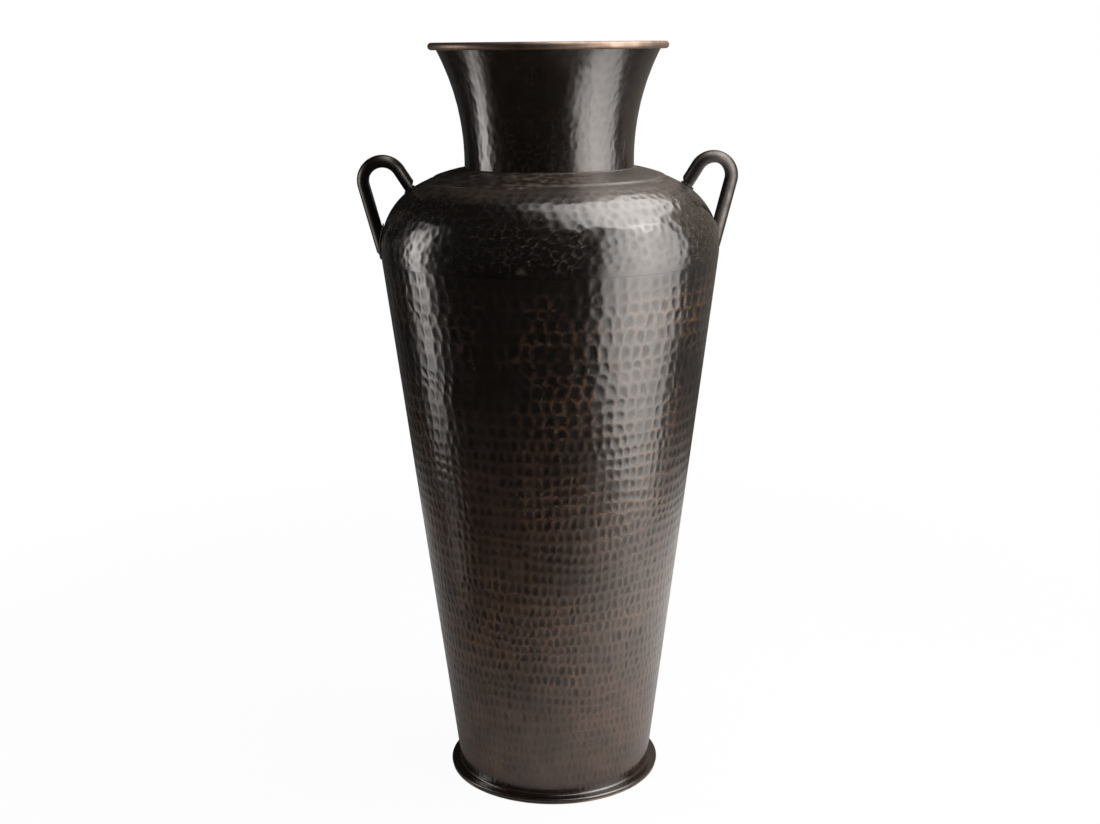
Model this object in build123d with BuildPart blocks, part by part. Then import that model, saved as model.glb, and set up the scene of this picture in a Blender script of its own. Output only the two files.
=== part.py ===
"""Hammered metal urn vase: a tall tapered body, a domed shoulder, a flared neck and two side handles.

Units are millimetres. The origin is at the middle of the underside, +Z is up,
the handles stand on the X axis and the front faces -Y.
"""

import os
from math import acos, asin, atan, atan2, cos, degrees, hypot, radians, sin, sqrt

from build123d import *

# Sheet metal and the gaps left in its joints
wall = 1.2
seam_clearance = 0.1

# Base disc and the folded ledge of the foot
base_thickness = 1.5
base_inset = 0.6
base_edge_round = 0.5
foot_ledge = 9.4
foot_bend = 2.0
hem_gap = 1.0
hem_return = 7.0

# Tapered body
body_foot_radius = 94.7
body_radius = 159.0
widest_height = 523.5
body_seam_lap = 14.0
joggle_length = 3.0

# Domed shoulder with a down-turned throat
corner_radius = 66.0
corner_turn = 62.7
crown_radius = 145.6
throat_bend = 1.3
throat_depth = 14.0

# Spun collar that lies on the dome between the neck and the handles
collar_thickness = 0.9
collar_gap = 7.7

# Flared neck with a wired rim
neck_radius = 79.0
neck_straight = 11.3
neck_rise = 117.4
mouth_flare = 28.2
rim_wire_radius = 2.1
rim_curl_gap = 0.8

# Handles of half-round bar
handle_width = 16.0
handle_thickness = 11.3
handle_side = 4.0
handle_foot_angle = 57.5
handle_stem = 21.0
handle_bend_radius = 12.5
handle_landing_angle = 16.3
handle_tip_drop = 6.0
handle_tip_angle = 45.0
handle_foot_chamfer = 5.5

# Braze beads round the handle ends
braze_gap = 0.3
braze_clearance = 0.05
braze_height = 1.6
braze_spread = 1.8


def polar(centre, radius, angle):
    """Point at an angle, in degrees, on a circle in the radius and height plane."""
    return (centre[0] + radius * cos(radians(angle)), centre[1] + radius * sin(radians(angle)))


def shifted(point, direction, distance):
    """Point moved along a direction, given as an angle in degrees."""
    return polar(point, distance, direction)


def tangent_lean(start, centre, radius):
    """Lean from upright, in degrees, of the line from start that touches the outer side of a circle."""
    across = centre[0] - start[0]
    up = centre[1] - start[1]
    return degrees(atan2(across, up) + asin(radius / hypot(across, up)))


# Foot: the ledge is two layers of sheet with a fold gap between them
foot_radius = body_foot_radius + foot_ledge
hem_radius = wall + hem_gap / 2
ledge_height = base_thickness + 2 * hem_radius
hem_centre = (foot_radius - hem_radius, base_thickness + hem_radius)

# Shoulder: the corner arc takes over from the straight side, the crown arc from the corner arc
corner_centre = (body_radius - corner_radius, widest_height)
taper = tangent_lean((body_foot_radius, ledge_height), corner_centre, corner_radius)
crown_centre = polar(corner_centre, corner_radius - crown_radius, corner_turn)

# Throat: a small bend turns the crown down into a socket for the neck
throat_radius = neck_radius + seam_clearance
throat_round = throat_bend + wall
throat_line = throat_radius + throat_round
throat_top = crown_centre[1] + sqrt((crown_radius - throat_round) ** 2 - (throat_line - crown_centre[0]) ** 2)
throat_centre = (throat_line, throat_top)
throat_turn = degrees(atan2(throat_top - crown_centre[1], throat_line - crown_centre[0]))
neck_foot = throat_top - throat_depth

# Rim: the neck's edge is rolled outwards round a wire
rim_radius = rim_wire_radius + seam_clearance + wall
rim_centre = (neck_radius + mouth_flare, throat_top + neck_rise - rim_radius)
flare_start = throat_top + neck_straight
flare_rise = rim_centre[1] - flare_start
flare_turn = 2 * degrees(atan((mouth_flare - rim_radius + wall) / flare_rise))
flare_radius = flare_rise / sin(radians(flare_turn)) + rim_radius - wall
flare_centre = (neck_radius + flare_radius, flare_start)
rim_turn = 360 - degrees(acos((rim_radius - wall) / rim_radius) + rim_curl_gap / rim_radius)

# Collar: it stops a set gap short of the braze at the handles' feet
stem_foot = polar(corner_centre, corner_radius, handle_foot_angle)
stem_reach = (handle_thickness / 2 + braze_spread) * sin(radians(handle_foot_angle))
collar_radius = stem_foot[0] - stem_reach - collar_gap


def side_point(grow, distance):
    """Point on the straight side moved out by grow, at a distance below its upper end."""
    upper_end = polar(corner_centre, corner_radius + grow, -taper)
    return shifted(upper_end, -90 - taper, distance)


def vessel(grow):
    """Solid of the closed vessel up to the crown, with its outside moved out by grow."""
    crown_top = crown_centre[1] + crown_radius + grow
    foot = side_point(grow, widest_height)
    with BuildPart() as solid:
        with BuildSketch(Plane.XZ):
            with BuildLine():
                Polyline((0, crown_top), (0, foot[1]), foot, side_point(grow, 0))
                CenterArc(corner_centre, corner_radius + grow, -taper, corner_turn + taper)
                CenterArc(crown_centre, crown_radius + grow, corner_turn, 90 - corner_turn)
                Line((crown_centre[0], crown_top), (0, crown_top))
            make_face()
        revolve(axis=Axis.Z)
    return solid.part


# Base disc
with BuildPart() as base_disc:
    Cylinder(foot_radius - base_inset, base_thickness, align=(Align.CENTER, Align.CENTER, Align.MIN))
    fillet(base_disc.edges().filter_by(GeomType.CIRCLE), base_edge_round)

# Tapered body: straight side, foot bend, ledge and the hem folded under it
bend_centre = (
    body_foot_radius + foot_bend * (sin(radians(taper)) + 1) / cos(radians(taper)),
    ledge_height + foot_bend,
)
hem_end = foot_radius - hem_return
with BuildPart() as tapered_body:
    with BuildSketch(Plane.XZ):
        with BuildLine():
            Line(side_point(0, 0), polar(bend_centre, foot_bend, 180 - taper))
            CenterArc(bend_centre, foot_bend, 180 - taper, 90 + taper)
            Line(polar(bend_centre, foot_bend, -90), polar(hem_centre, hem_radius, 90))
            CenterArc(hem_centre, hem_radius, 90, -180)
            Polyline(
                polar(hem_centre, hem_radius, -90),
                (hem_end, base_thickness),
                (hem_end, base_thickness + wall),
                polar(hem_centre, hem_gap / 2, -90),
            )
            CenterArc(hem_centre, hem_gap / 2, -90, 180)
            Line(polar(hem_centre, hem_gap / 2, 90), polar(bend_centre, foot_bend + wall, -90))
            CenterArc(bend_centre, foot_bend + wall, -90, -90 - taper)
            Polyline(
                polar(bend_centre, foot_bend + wall, 180 - taper),
                side_point(-wall, 0),
                side_point(0, 0),
            )
        make_face()
    revolve(axis=Axis.Z)

# Domed shoulder: a joggled skirt laps inside the tapered body, and a throat takes the neck
skirt_face = -wall - seam_clearance
skirt_back = skirt_face - wall
joggle_start = degrees(seam_clearance / corner_radius) - taper
joggle_end = degrees(joggle_length / corner_radius) - taper
with BuildPart() as shoulder_dome:
    with BuildSketch(Plane.XZ):
        with BuildLine():
            Polyline(
                side_point(skirt_face, body_seam_lap),
                side_point(skirt_face, 0),
                polar(corner_centre, corner_radius + skirt_face, joggle_start),
                polar(corner_centre, corner_radius, joggle_start),
            )
            CenterArc(corner_centre, corner_radius, joggle_start, corner_turn - joggle_start)
            CenterArc(crown_centre, crown_radius, corner_turn, throat_turn - corner_turn)
            CenterArc(throat_centre, throat_round, throat_turn, 180 - throat_turn)
            Polyline(
                (throat_radius, throat_top),
                (throat_radius, neck_foot),
                (throat_radius + wall, neck_foot),
                (throat_radius + wall, throat_top),
            )
            CenterArc(throat_centre, throat_bend, 180, throat_turn - 180)
            CenterArc(crown_centre, crown_radius - wall, throat_turn, corner_turn - throat_turn)
            CenterArc(corner_centre, corner_radius - wall, corner_turn, joggle_end - corner_turn)
            Polyline(
                polar(corner_centre, corner_radius - wall, joggle_end),
                side_point(skirt_back, 0),
                side_point(skirt_back, body_seam_lap),
                side_point(skirt_face, body_seam_lap),
            )
        make_face()
    revolve(axis=Axis.Z)

# Spun collar: a ring that follows the crown, one sheet proud of it
collar_under = vessel(seam_clearance)
collar_over = vessel(seam_clearance + collar_thickness)
with BuildPart() as neck_collar:
    with BuildSketch(Plane.XY.offset(widest_height)):
        Circle(collar_radius)
        Circle(throat_radius, mode=Mode.SUBTRACT)
    extrude(amount=corner_radius + crown_radius)
    add(collar_over, mode=Mode.INTERSECT)
    add(collar_under, mode=Mode.SUBTRACT)

# Flared neck: socket end, flare and the edge rolled round the wire
rim_start = 180 - flare_turn
with BuildPart() as flared_neck:
    with BuildSketch(Plane.XZ):
        with BuildLine():
            Line((neck_radius, neck_foot), (neck_radius, flare_start))
            CenterArc(flare_centre, flare_radius, 180, -flare_turn)
            CenterArc(rim_centre, rim_radius - wall, rim_start, -rim_turn)
            Line(
                polar(rim_centre, rim_radius - wall, rim_start - rim_turn),
                polar(rim_centre, rim_radius, rim_start - rim_turn),
            )
            CenterArc(rim_centre, rim_radius, rim_start - rim_turn, rim_turn)
            CenterArc(flare_centre, flare_radius + wall, rim_start, flare_turn)
            Polyline(
                (neck_radius - wall, flare_start),
                (neck_radius - wall, neck_foot),
                (neck_radius, neck_foot),
            )
        make_face()
    revolve(axis=Axis.Z)

# Steel wire inside the rim
with BuildPart() as rim_wire:
    with BuildSketch(Plane.XZ):
        with Locations(rim_centre):
            Circle(rim_wire_radius)
    revolve(axis=Axis.Z)

# Handle line: a stem square to the shoulder, a bend, and a leg that comes down onto the widest part
stem_root = shifted(stem_foot, handle_foot_angle, -handle_thickness)
stem_top = shifted(stem_foot, handle_foot_angle, handle_stem)
middle_bend = handle_bend_radius + handle_thickness / 2
loop_centre = shifted(stem_top, handle_foot_angle - 90, middle_bend)
leg_lean = tangent_lean(polar(corner_centre, corner_radius, handle_landing_angle), loop_centre, handle_bend_radius)
leg_top = polar(loop_centre, middle_bend, -leg_lean)
tip_height = widest_height - handle_tip_drop
leg_length = (leg_top[1] - tip_height) / cos(radians(leg_lean)) + handle_thickness
leg_end = shifted(leg_top, -90 - leg_lean, leg_length)
tip_point = (body_radius, tip_height)
chamfer_point = shifted(stem_foot, handle_foot_angle + 90, handle_thickness / 2 - handle_foot_chamfer)


def handle_bar(grow):
    """Bar of the right handle before it is fitted to the vessel, with its outside moved out by grow."""
    half_width = handle_width / 2 + grow
    flat = -handle_thickness / 2 - grow
    shoulder = -handle_thickness / 2 + handle_side
    reach = 2 * handle_thickness
    tip = shifted(tip_point, handle_tip_angle - 90, grow)
    corner = shifted(chamfer_point, handle_foot_angle + 135, grow)
    with BuildPart() as bar:
        with BuildLine(Plane.XZ) as route:
            Line(stem_root, stem_top)
            CenterArc(loop_centre, middle_bend, handle_foot_angle + 90, -leg_lean - handle_foot_angle - 90)
            Line(leg_top, leg_end)
        with BuildSketch(Plane(route.line @ 0, x_dir=(0, 1, 0), z_dir=route.line % 0)):
            with BuildLine():
                Polyline(
                    (half_width, shoulder),
                    (half_width, flat),
                    (-half_width, flat),
                    (-half_width, shoulder),
                )
                ThreePointArc((-half_width, shoulder), (0, handle_thickness / 2 + grow), (half_width, shoulder))
            make_face()
        sweep(path=route.line)
        with BuildSketch(Plane.XZ):
            with BuildLine():
                Polyline(
                    shifted(tip, handle_tip_angle, -reach),
                    shifted(tip, handle_tip_angle, reach),
                    shifted(tip, handle_tip_angle - 90, reach),
                    close=True,
                )
            make_face()
            with BuildLine():
                Polyline(
                    shifted(corner, handle_foot_angle + 45, -reach),
                    shifted(corner, handle_foot_angle + 45, reach),
                    shifted(corner, handle_foot_angle + 135, reach),
                    close=True,
                )
            make_face()
        extrude(amount=handle_width, both=True, mode=Mode.SUBTRACT)
    return bar.part


# Right handle, cut to lie on the shoulder and the side
right_bar = handle_bar(0)
handle_seat = vessel(braze_gap)
with BuildPart() as right_handle:
    add(right_bar)
    add(handle_seat, mode=Mode.SUBTRACT)

# Braze beads where the right handle's two ends meet the sheet
bead_bar = handle_bar(braze_spread)
bead_core = handle_bar(braze_clearance)
bead_over = vessel(braze_height)
bead_under = vessel(braze_clearance)
with BuildPart() as right_handle_braze:
    add(bead_bar)
    add(bead_over, mode=Mode.INTERSECT)
    add(bead_under, mode=Mode.SUBTRACT)
    add(bead_core, mode=Mode.SUBTRACT)

# Left handle and its beads
with BuildPart() as left_handle:
    mirror(right_handle.part, about=Plane.YZ)
with BuildPart() as left_handle_braze:
    mirror(right_handle_braze.part, about=Plane.YZ)

# One file for each piece
pieces = {
    "base_disc": base_disc,
    "tapered_body": tapered_body,
    "shoulder_dome": shoulder_dome,
    "neck_collar": neck_collar,
    "flared_neck": flared_neck,
    "rim_wire": rim_wire,
    "right_handle": right_handle,
    "left_handle": left_handle,
    "right_handle_braze": right_handle_braze,
    "left_handle_braze": left_handle_braze,
}
os.makedirs("parts", exist_ok=True)
for name, piece in pieces.items():
    piece.part.label = name
    export_step(piece.part, f"parts/{name}.step")
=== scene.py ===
"""Dressed model of a hammered metal urn vase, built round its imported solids.

Everything is in metres, in the frame of the solids: the origin is at the middle of the
underside, +Z is up, the handles stand on the X axis and the front faces -Y.
Sections are given as points of radius and height, and angles are in degrees.
"""

import logging
from dataclasses import dataclass
from enum import Enum
from math import acos, asin, atan, atan2, cos, degrees, hypot, pi, radians, sin, sqrt

import bpy
import numpy as np
from mathutils import Matrix, Vector


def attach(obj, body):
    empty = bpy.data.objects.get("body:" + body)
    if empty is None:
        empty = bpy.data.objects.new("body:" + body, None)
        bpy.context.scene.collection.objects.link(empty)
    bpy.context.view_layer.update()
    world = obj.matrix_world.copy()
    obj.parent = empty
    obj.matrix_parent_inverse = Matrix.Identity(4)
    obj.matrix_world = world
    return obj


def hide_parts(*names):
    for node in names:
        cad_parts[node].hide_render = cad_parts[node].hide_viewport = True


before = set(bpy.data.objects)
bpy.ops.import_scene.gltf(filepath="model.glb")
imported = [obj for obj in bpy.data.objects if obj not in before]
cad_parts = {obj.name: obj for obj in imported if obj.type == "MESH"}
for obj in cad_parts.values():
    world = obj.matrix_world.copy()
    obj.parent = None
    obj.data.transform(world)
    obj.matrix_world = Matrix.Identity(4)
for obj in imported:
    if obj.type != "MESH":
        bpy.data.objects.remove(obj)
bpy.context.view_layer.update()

log = logging.getLogger("urn_vase")

Point = tuple[float, float]
Point3 = tuple[float, float, float]
Colour = tuple[float, float, float, float]
Inputs = dict[str | int, object]
Socket = bpy.types.NodeSocket

BODY = "root"
FULL_TURN = 2 * pi
FULL_RANGE: Point = (0.0, 1.0)
BLACK: Colour = (0, 0, 0, 1)
WHITE: Colour = (1, 1, 1, 1)
SMOOTH_ANGLE = radians(38)

# Vertices this near to each other are one, and a vertex this near to a face lies on it
WELD = 1e-6
ON_FACE = 10 * WELD

# A vertex this near to the next mark, in marks, or band, in shares of the side, is counted in it
MARK_SLACK = 0.01
BAND_SLACK = 1e-4

# Tint of metal without a hammer mark, halfway between the palest and the darkest mark
PLAIN_TINT = 0.5


class Slot(Enum):
    """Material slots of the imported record."""

    HAMMERED = "hammered_patina"
    SMOOTH = "smooth_patina"
    COPPER = "rubbed_copper"
    BAR = "blackened_bar"
    BRAZE = "braze_metal"
    WIRE = "core_wire"


class Marks(Enum):
    """Where a finish reads the hammer marks of its piece."""

    NONE = "none"
    ROWS = "marks"
    BLOWS = "attributes"


class Side(Enum):
    """Which side of the vase a handle stands on."""

    RIGHT = "right"
    LEFT = "left"


def polar(centre: Point, radius: float, angle: float) -> Point:
    """Point at an angle on a circle in the radius and height plane."""
    return (centre[0] + radius * cos(radians(angle)), centre[1] + radius * sin(radians(angle)))


def shifted(point: Point, direction: float, distance: float) -> Point:
    """Point moved a distance along a direction given as an angle."""
    return polar(point, distance, direction)


def tangent_lean(start: Point, centre: Point, radius: float) -> float:
    """Lean of the line from a point that touches the outer side of a circle.

    Args:
        start: The point.
        centre: The centre of the circle.
        radius: Its radius.

    Returns:
        The line's lean from upright.
    """
    across = centre[0] - start[0]
    up = centre[1] - start[1]
    return degrees(atan2(across, up) + asin(radius / hypot(across, up)))


def flat(point: Point) -> Vector:
    """Point of the radius and height plane as a place in the XZ plane."""
    return Vector((point[0], 0, point[1]))


def heading(angle: float, length: float = 1.0) -> Vector:
    """Move of a length in the XZ plane, in a direction given as an angle."""
    return flat(polar((0, 0), length, angle))


def clear_selection() -> None:
    """Leaves edit mode and deselects every object."""
    if bpy.context.mode != "OBJECT":
        bpy.ops.object.mode_set(mode="OBJECT")
    bpy.ops.object.select_all(action="DESELECT")


def take_up(piece: bpy.types.Object) -> None:
    """Makes one piece the only selected and the active object.

    Args:
        piece: The piece.
    """
    clear_selection()
    piece.select_set(True)
    bpy.context.view_layer.objects.active = piece


def apply_modifier(piece: bpy.types.Object, kind: str, **settings: object) -> None:
    """Adds a modifier, sets it and applies it.

    Args:
        piece: The object to change.
        kind: The modifier's type.
        settings: The modifier's own values.
    """
    take_up(piece)
    modifier = piece.modifiers.new(kind.title(), kind)
    for name, value in settings.items():
        setattr(modifier, name, value)
    bpy.ops.object.modifier_apply(modifier=modifier.name)


def weld() -> None:
    """Selects all of the mesh that is being edited and merges its doubles."""
    bpy.ops.mesh.select_all(action="SELECT")
    bpy.ops.mesh.remove_doubles(threshold=WELD)


def tidy_mesh(piece: bpy.types.Object) -> None:
    """Merges doubles, turns the faces outwards and smooths the shading.

    Args:
        piece: The object to change.
    """
    take_up(piece)
    bpy.ops.object.mode_set(mode="EDIT")
    weld()
    bpy.ops.mesh.normals_make_consistent(inside=False)
    bpy.ops.object.mode_set(mode="OBJECT")
    bpy.ops.object.shade_smooth_by_angle(angle=SMOOTH_ANGLE)


def dress(piece: bpy.types.Object, material: bpy.types.Material) -> None:
    """Gives a piece one material all over."""
    piece.data.materials.clear()
    piece.data.materials.append(material)


def seat(piece: bpy.types.Object, material: bpy.types.Material, slot: Slot, *nodes: str) -> None:
    """Dresses a piece, rides it on the vase's body in place of its solids, and reports it.

    Args:
        piece: The finished piece.
        material: Its finish.
        slot: The record's slot that the finish belongs to; not used.
        nodes: The solids that it stands for.
    """
    dress(piece, material)
    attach(piece, BODY)
    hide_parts(*nodes)
    triangles = sum(len(face.vertices) - 2 for face in piece.data.polygons)
    log.info("%s stands for %s, %d triangles", piece.name, ", ".join(nodes), triangles)


class Chain:
    """A chain of edges drawn from point to point in edit mode, which becomes a piece."""

    def __init__(self, name: str, start: Vector) -> None:
        """Starts the chain with a plane that is merged to one vertex.

        Args:
            name: The name of the piece.
            start: The first point.
        """
        clear_selection()
        bpy.ops.mesh.primitive_plane_add(size=WELD, location=(0, 0, 0))
        self.piece = bpy.context.active_object
        self.piece.name = name
        self.piece.data.name = name
        bpy.ops.object.mode_set(mode="EDIT")
        bpy.ops.mesh.select_mode(type="VERT")
        bpy.ops.mesh.select_all(action="SELECT")
        bpy.ops.mesh.merge(type="CENTER")
        bpy.ops.transform.translate(value=start)
        self.end = start.copy()

    def line(self, end: Vector, steps: int = 1) -> None:
        """Draws a straight run of some steps to a point."""
        self.push((end - self.end) / steps, steps)
        self.end = end.copy()

    def push(self, move: Vector, steps: int) -> None:
        """Extrudes what is selected by a move, several times."""
        for _ in range(steps):
            bpy.ops.mesh.extrude_region_move(TRANSFORM_OT_translate={"value": move})

    def arc(self, centre: Vector, axis: Vector, turn: float, steps: int) -> None:
        """Draws an arc, or turns what is selected, about a centre.

        Args:
            centre: The centre of the arc.
            axis: The axis that the arc goes round, by the right-hand rule.
            turn: The angle of the arc.
            steps: How many edges the arc has.
        """
        bpy.ops.mesh.spin(steps=steps, angle=-radians(turn), center=centre, axis=axis)
        self.end = centre + Matrix.Rotation(radians(turn), 3, axis) @ (self.end - centre)

    def fill(self) -> None:
        """Closes the chain and fills it with one face."""
        weld()
        bpy.ops.mesh.edge_face_add()


class Section(Chain):
    """A chain in the radius and height plane that is turned into a ring round the vase's axis."""

    def __init__(self, name: str, start: Point) -> None:
        """Starts the section at a point of radius and height."""
        super().__init__(name, flat(start))

    def to(self, end: Point, steps: int = 1) -> None:
        """Draws a straight run to a point of radius and height."""
        self.line(flat(end), steps)

    def round(self, centre: Point, turn: float, steps: int) -> None:
        """Draws an arc about a point, anticlockwise when turn is positive."""
        self.arc(flat(centre), Vector((0, -1, 0)), turn, steps)

    def turned(self, columns: int) -> bpy.types.Object:
        """Spins the section all the way round.

        Args:
            columns: How many steps the full turn has.

        Returns:
            The closed ring, smooth and with its faces outwards.
        """
        weld()
        clear_selection()
        apply_modifier(
            self.piece,
            "SCREW",
            axis="Z",
            angle=FULL_TURN,
            steps=columns,
            render_steps=columns,
            use_merge_vertices=True,
            merge_threshold=WELD,
        )
        tidy_mesh(self.piece)
        return self.piece


@dataclass(frozen=True)
class VesselForm:
    """Sizes of the sheet vessel that several sub-assemblies are set out from."""

    wall: float = 0.0012
    seam_clearance: float = 0.0001
    base_thickness: float = 0.0015
    body_foot_radius: float = 0.0947
    foot_ledge: float = 0.0094
    hem_gap: float = 0.001
    body_radius: float = 0.159
    widest_height: float = 0.5235
    corner_radius: float = 0.066
    corner_turn: float = 62.7
    crown_radius: float = 0.1456
    neck_radius: float = 0.079
    throat_bend: float = 0.0013
    throat_depth: float = 0.014
    collar_radius: float = 0.1145
    handle_foot_angle: float = 57.5

    @property
    def foot_radius(self) -> float:
        """Outer radius of the ledge."""
        return self.body_foot_radius + self.foot_ledge

    @property
    def hem_radius(self) -> float:
        """Outer radius of the fold at the ledge's edge."""
        return self.wall + self.hem_gap / 2

    @property
    def ledge_height(self) -> float:
        """Height of the ledge's upper face."""
        return self.base_thickness + 2 * self.hem_radius

    @property
    def corner_centre(self) -> Point:
        """Centre of the shoulder's corner arc."""
        return (self.body_radius - self.corner_radius, self.widest_height)

    @property
    def taper(self) -> float:
        """Lean of the straight side from upright."""
        foot = (self.body_foot_radius, self.ledge_height)
        return tangent_lean(foot, self.corner_centre, self.corner_radius)

    @property
    def crown_centre(self) -> Point:
        """Centre of the arc that closes the shoulder in towards the neck."""
        return polar(self.corner_centre, self.corner_radius - self.crown_radius, self.corner_turn)

    @property
    def throat_radius(self) -> float:
        """Inner radius of the socket that takes the neck."""
        return self.neck_radius + self.seam_clearance

    @property
    def throat_centre(self) -> Point:
        """Centre of the small bend from the crown into the socket."""
        bend = self.throat_bend + self.wall
        return self.crown_point(-bend, self.throat_radius + bend)

    @property
    def throat_turn(self) -> float:
        """Angle on the crown arc at which the small bend starts."""
        across, up = (bend - crown for bend, crown in zip(self.throat_centre, self.crown_centre))
        return degrees(atan2(up, across))

    @property
    def neck_foot(self) -> float:
        """Height of the neck's lower edge, inside the socket."""
        return self.throat_centre[1] - self.throat_depth

    @property
    def handle_foot(self) -> Point:
        """Middle of a handle's upper foot on the shoulder."""
        return polar(self.corner_centre, self.corner_radius, self.handle_foot_angle)

    def side_point(self, grow: float, distance: float) -> Point:
        """Point of the straight side, moved out by grow, at a distance below its upper end."""
        upper_end = polar(self.corner_centre, self.corner_radius + grow, -self.taper)
        return shifted(upper_end, -90 - self.taper, distance)

    def crown_point(self, grow: float, radius: float) -> Point:
        """Point of the crown, moved out by grow, at a distance from the vase's axis."""
        across = radius - self.crown_centre[0]
        return (radius, self.crown_centre[1] + sqrt((self.crown_radius + grow) ** 2 - across**2))

    def solid(self, name: str, grow: float, columns: int = 256) -> bpy.types.Object:
        """Closed solid of the vessel's outside, which other pieces are trimmed to.

        Args:
            name: The name of the solid.
            grow: How far its outside is moved out.
            columns: How many steps the full turn has.

        Returns:
            The solid, from well below the handles up to the crown.
        """
        foot = self.side_point(grow, self.crown_radius)
        crown_top = self.crown_centre[1] + self.crown_radius + grow
        section = Section(name, (0, foot[1]))
        section.to(foot)
        section.to(self.side_point(grow, 0), steps=4)
        section.round(self.corner_centre, self.corner_turn + self.taper, steps=48)
        section.round(self.crown_centre, 90 - self.corner_turn, steps=12)
        section.to((0, crown_top))
        return section.turned(columns)


class Surface:
    """Vertices of a turned piece as numbers."""

    def __init__(self, piece: bpy.types.Object) -> None:
        """Reads the vertices.

        Args:
            piece: The turned piece.
        """
        self.piece = piece
        places = np.zeros(len(piece.data.vertices) * 3)
        piece.data.vertices.foreach_get("co", places)
        self.places = places.reshape(-1, 3)

    @property
    def radius(self) -> np.ndarray:
        """Distance of each vertex from the vase's axis."""
        return np.hypot(self.places[:, 0], self.places[:, 1])

    @property
    def angle(self) -> np.ndarray:
        """Angle of each vertex round the vase's axis, in radians from 0 to a full turn."""
        return np.arctan2(self.places[:, 1], self.places[:, 0]) % FULL_TURN

    @property
    def height(self) -> np.ndarray:
        """Height of each vertex."""
        return self.places[:, 2]

    def place(self, chosen: np.ndarray, radius: np.ndarray, angle: np.ndarray, height: np.ndarray) -> None:
        """Moves the chosen vertices along the surface.

        Args:
            chosen: The numbers of the vertices.
            radius: Their new distances from the axis.
            angle: Their new angles round it.
            height: Their new heights.
        """
        self.places[chosen] = np.column_stack((radius * np.cos(angle), radius * np.sin(angle), height))
        self.piece.data.vertices.foreach_set("co", self.places.ravel())
        self.piece.data.update()

    def spread(self, chosen: np.ndarray, values: np.ndarray, elsewhere: float = 0.0) -> np.ndarray:
        """Gives every vertex a value.

        Args:
            chosen: The numbers of some vertices.
            values: Their values.
            elsewhere: The value of all the others.

        Returns:
            The values of all vertices.
        """
        everywhere = np.full(len(self.places), elsewhere)
        everywhere[chosen] = values
        return everywhere

    def sink(self, depth: np.ndarray) -> None:
        """Presses hammer marks into the sheet.

        Args:
            depth: How deep each vertex goes.
        """
        deepest = float(depth.max())
        group = self.piece.vertex_groups.new(name="hammer_marks")
        for number in np.flatnonzero(depth > 0):
            group.add([int(number)], float(depth[number] / deepest), "REPLACE")
        apply_modifier(
            self.piece,
            "DISPLACE",
            direction="NORMAL",
            mid_level=0.0,
            strength=-deepest,
            vertex_group=group.name,
        )
        self.piece.vertex_groups.clear()

    def keep(self, name: str, values: np.ndarray) -> None:
        """Keeps values of the vertices, from 0 to 1, as an attribute for the finish."""
        attribute = self.piece.data.attributes.new(name, "FLOAT", "POINT")
        attribute.data.foreach_set("value", np.clip(values, *FULL_RANGE))


def drifting(
    places: np.ndarray,
    waves: int,
    draw: np.random.Generator,
    most_beats: int = 5,
    steepness: float = 3.0,
) -> np.ndarray:
    """Slow random change over places in radians, as a sum of waves.

    Args:
        places: Array whose last axis holds the places round the vase and up it.
        waves: How many waves are added.
        draw: The source of random numbers.
        most_beats: How often a wave repeats round the vase at most.
        steepness: How quickly the waves usually change up the vase.

    Returns:
        Values of about -1 to 1, one for each place.
    """
    total = np.zeros(places.shape[:-1])
    for _ in range(waves):
        # Whole waves round the vase, so that the pattern closes on itself
        beats = draw.integers(1, most_beats + 1)
        rise = draw.normal(0, steepness)
        phase = draw.uniform(0, FULL_TURN)
        total += np.sin(beats * places[..., 0] + rise * places[..., 1] + phase)
    return total / sqrt(waves)


def within_marks(places: np.ndarray) -> tuple[np.ndarray, np.ndarray]:
    """Number of the mark that each place lies in, and how far across the mark it lies."""
    nudged = places + MARK_SLACK
    return np.floor(nudged).astype(int), nudged % 1 - MARK_SLACK


@dataclass(frozen=True)
class MarkBand:
    """Band of the straight side whose rows all have the same number of hammer marks."""

    marks_round: int
    rows: int
    share: float


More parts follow.
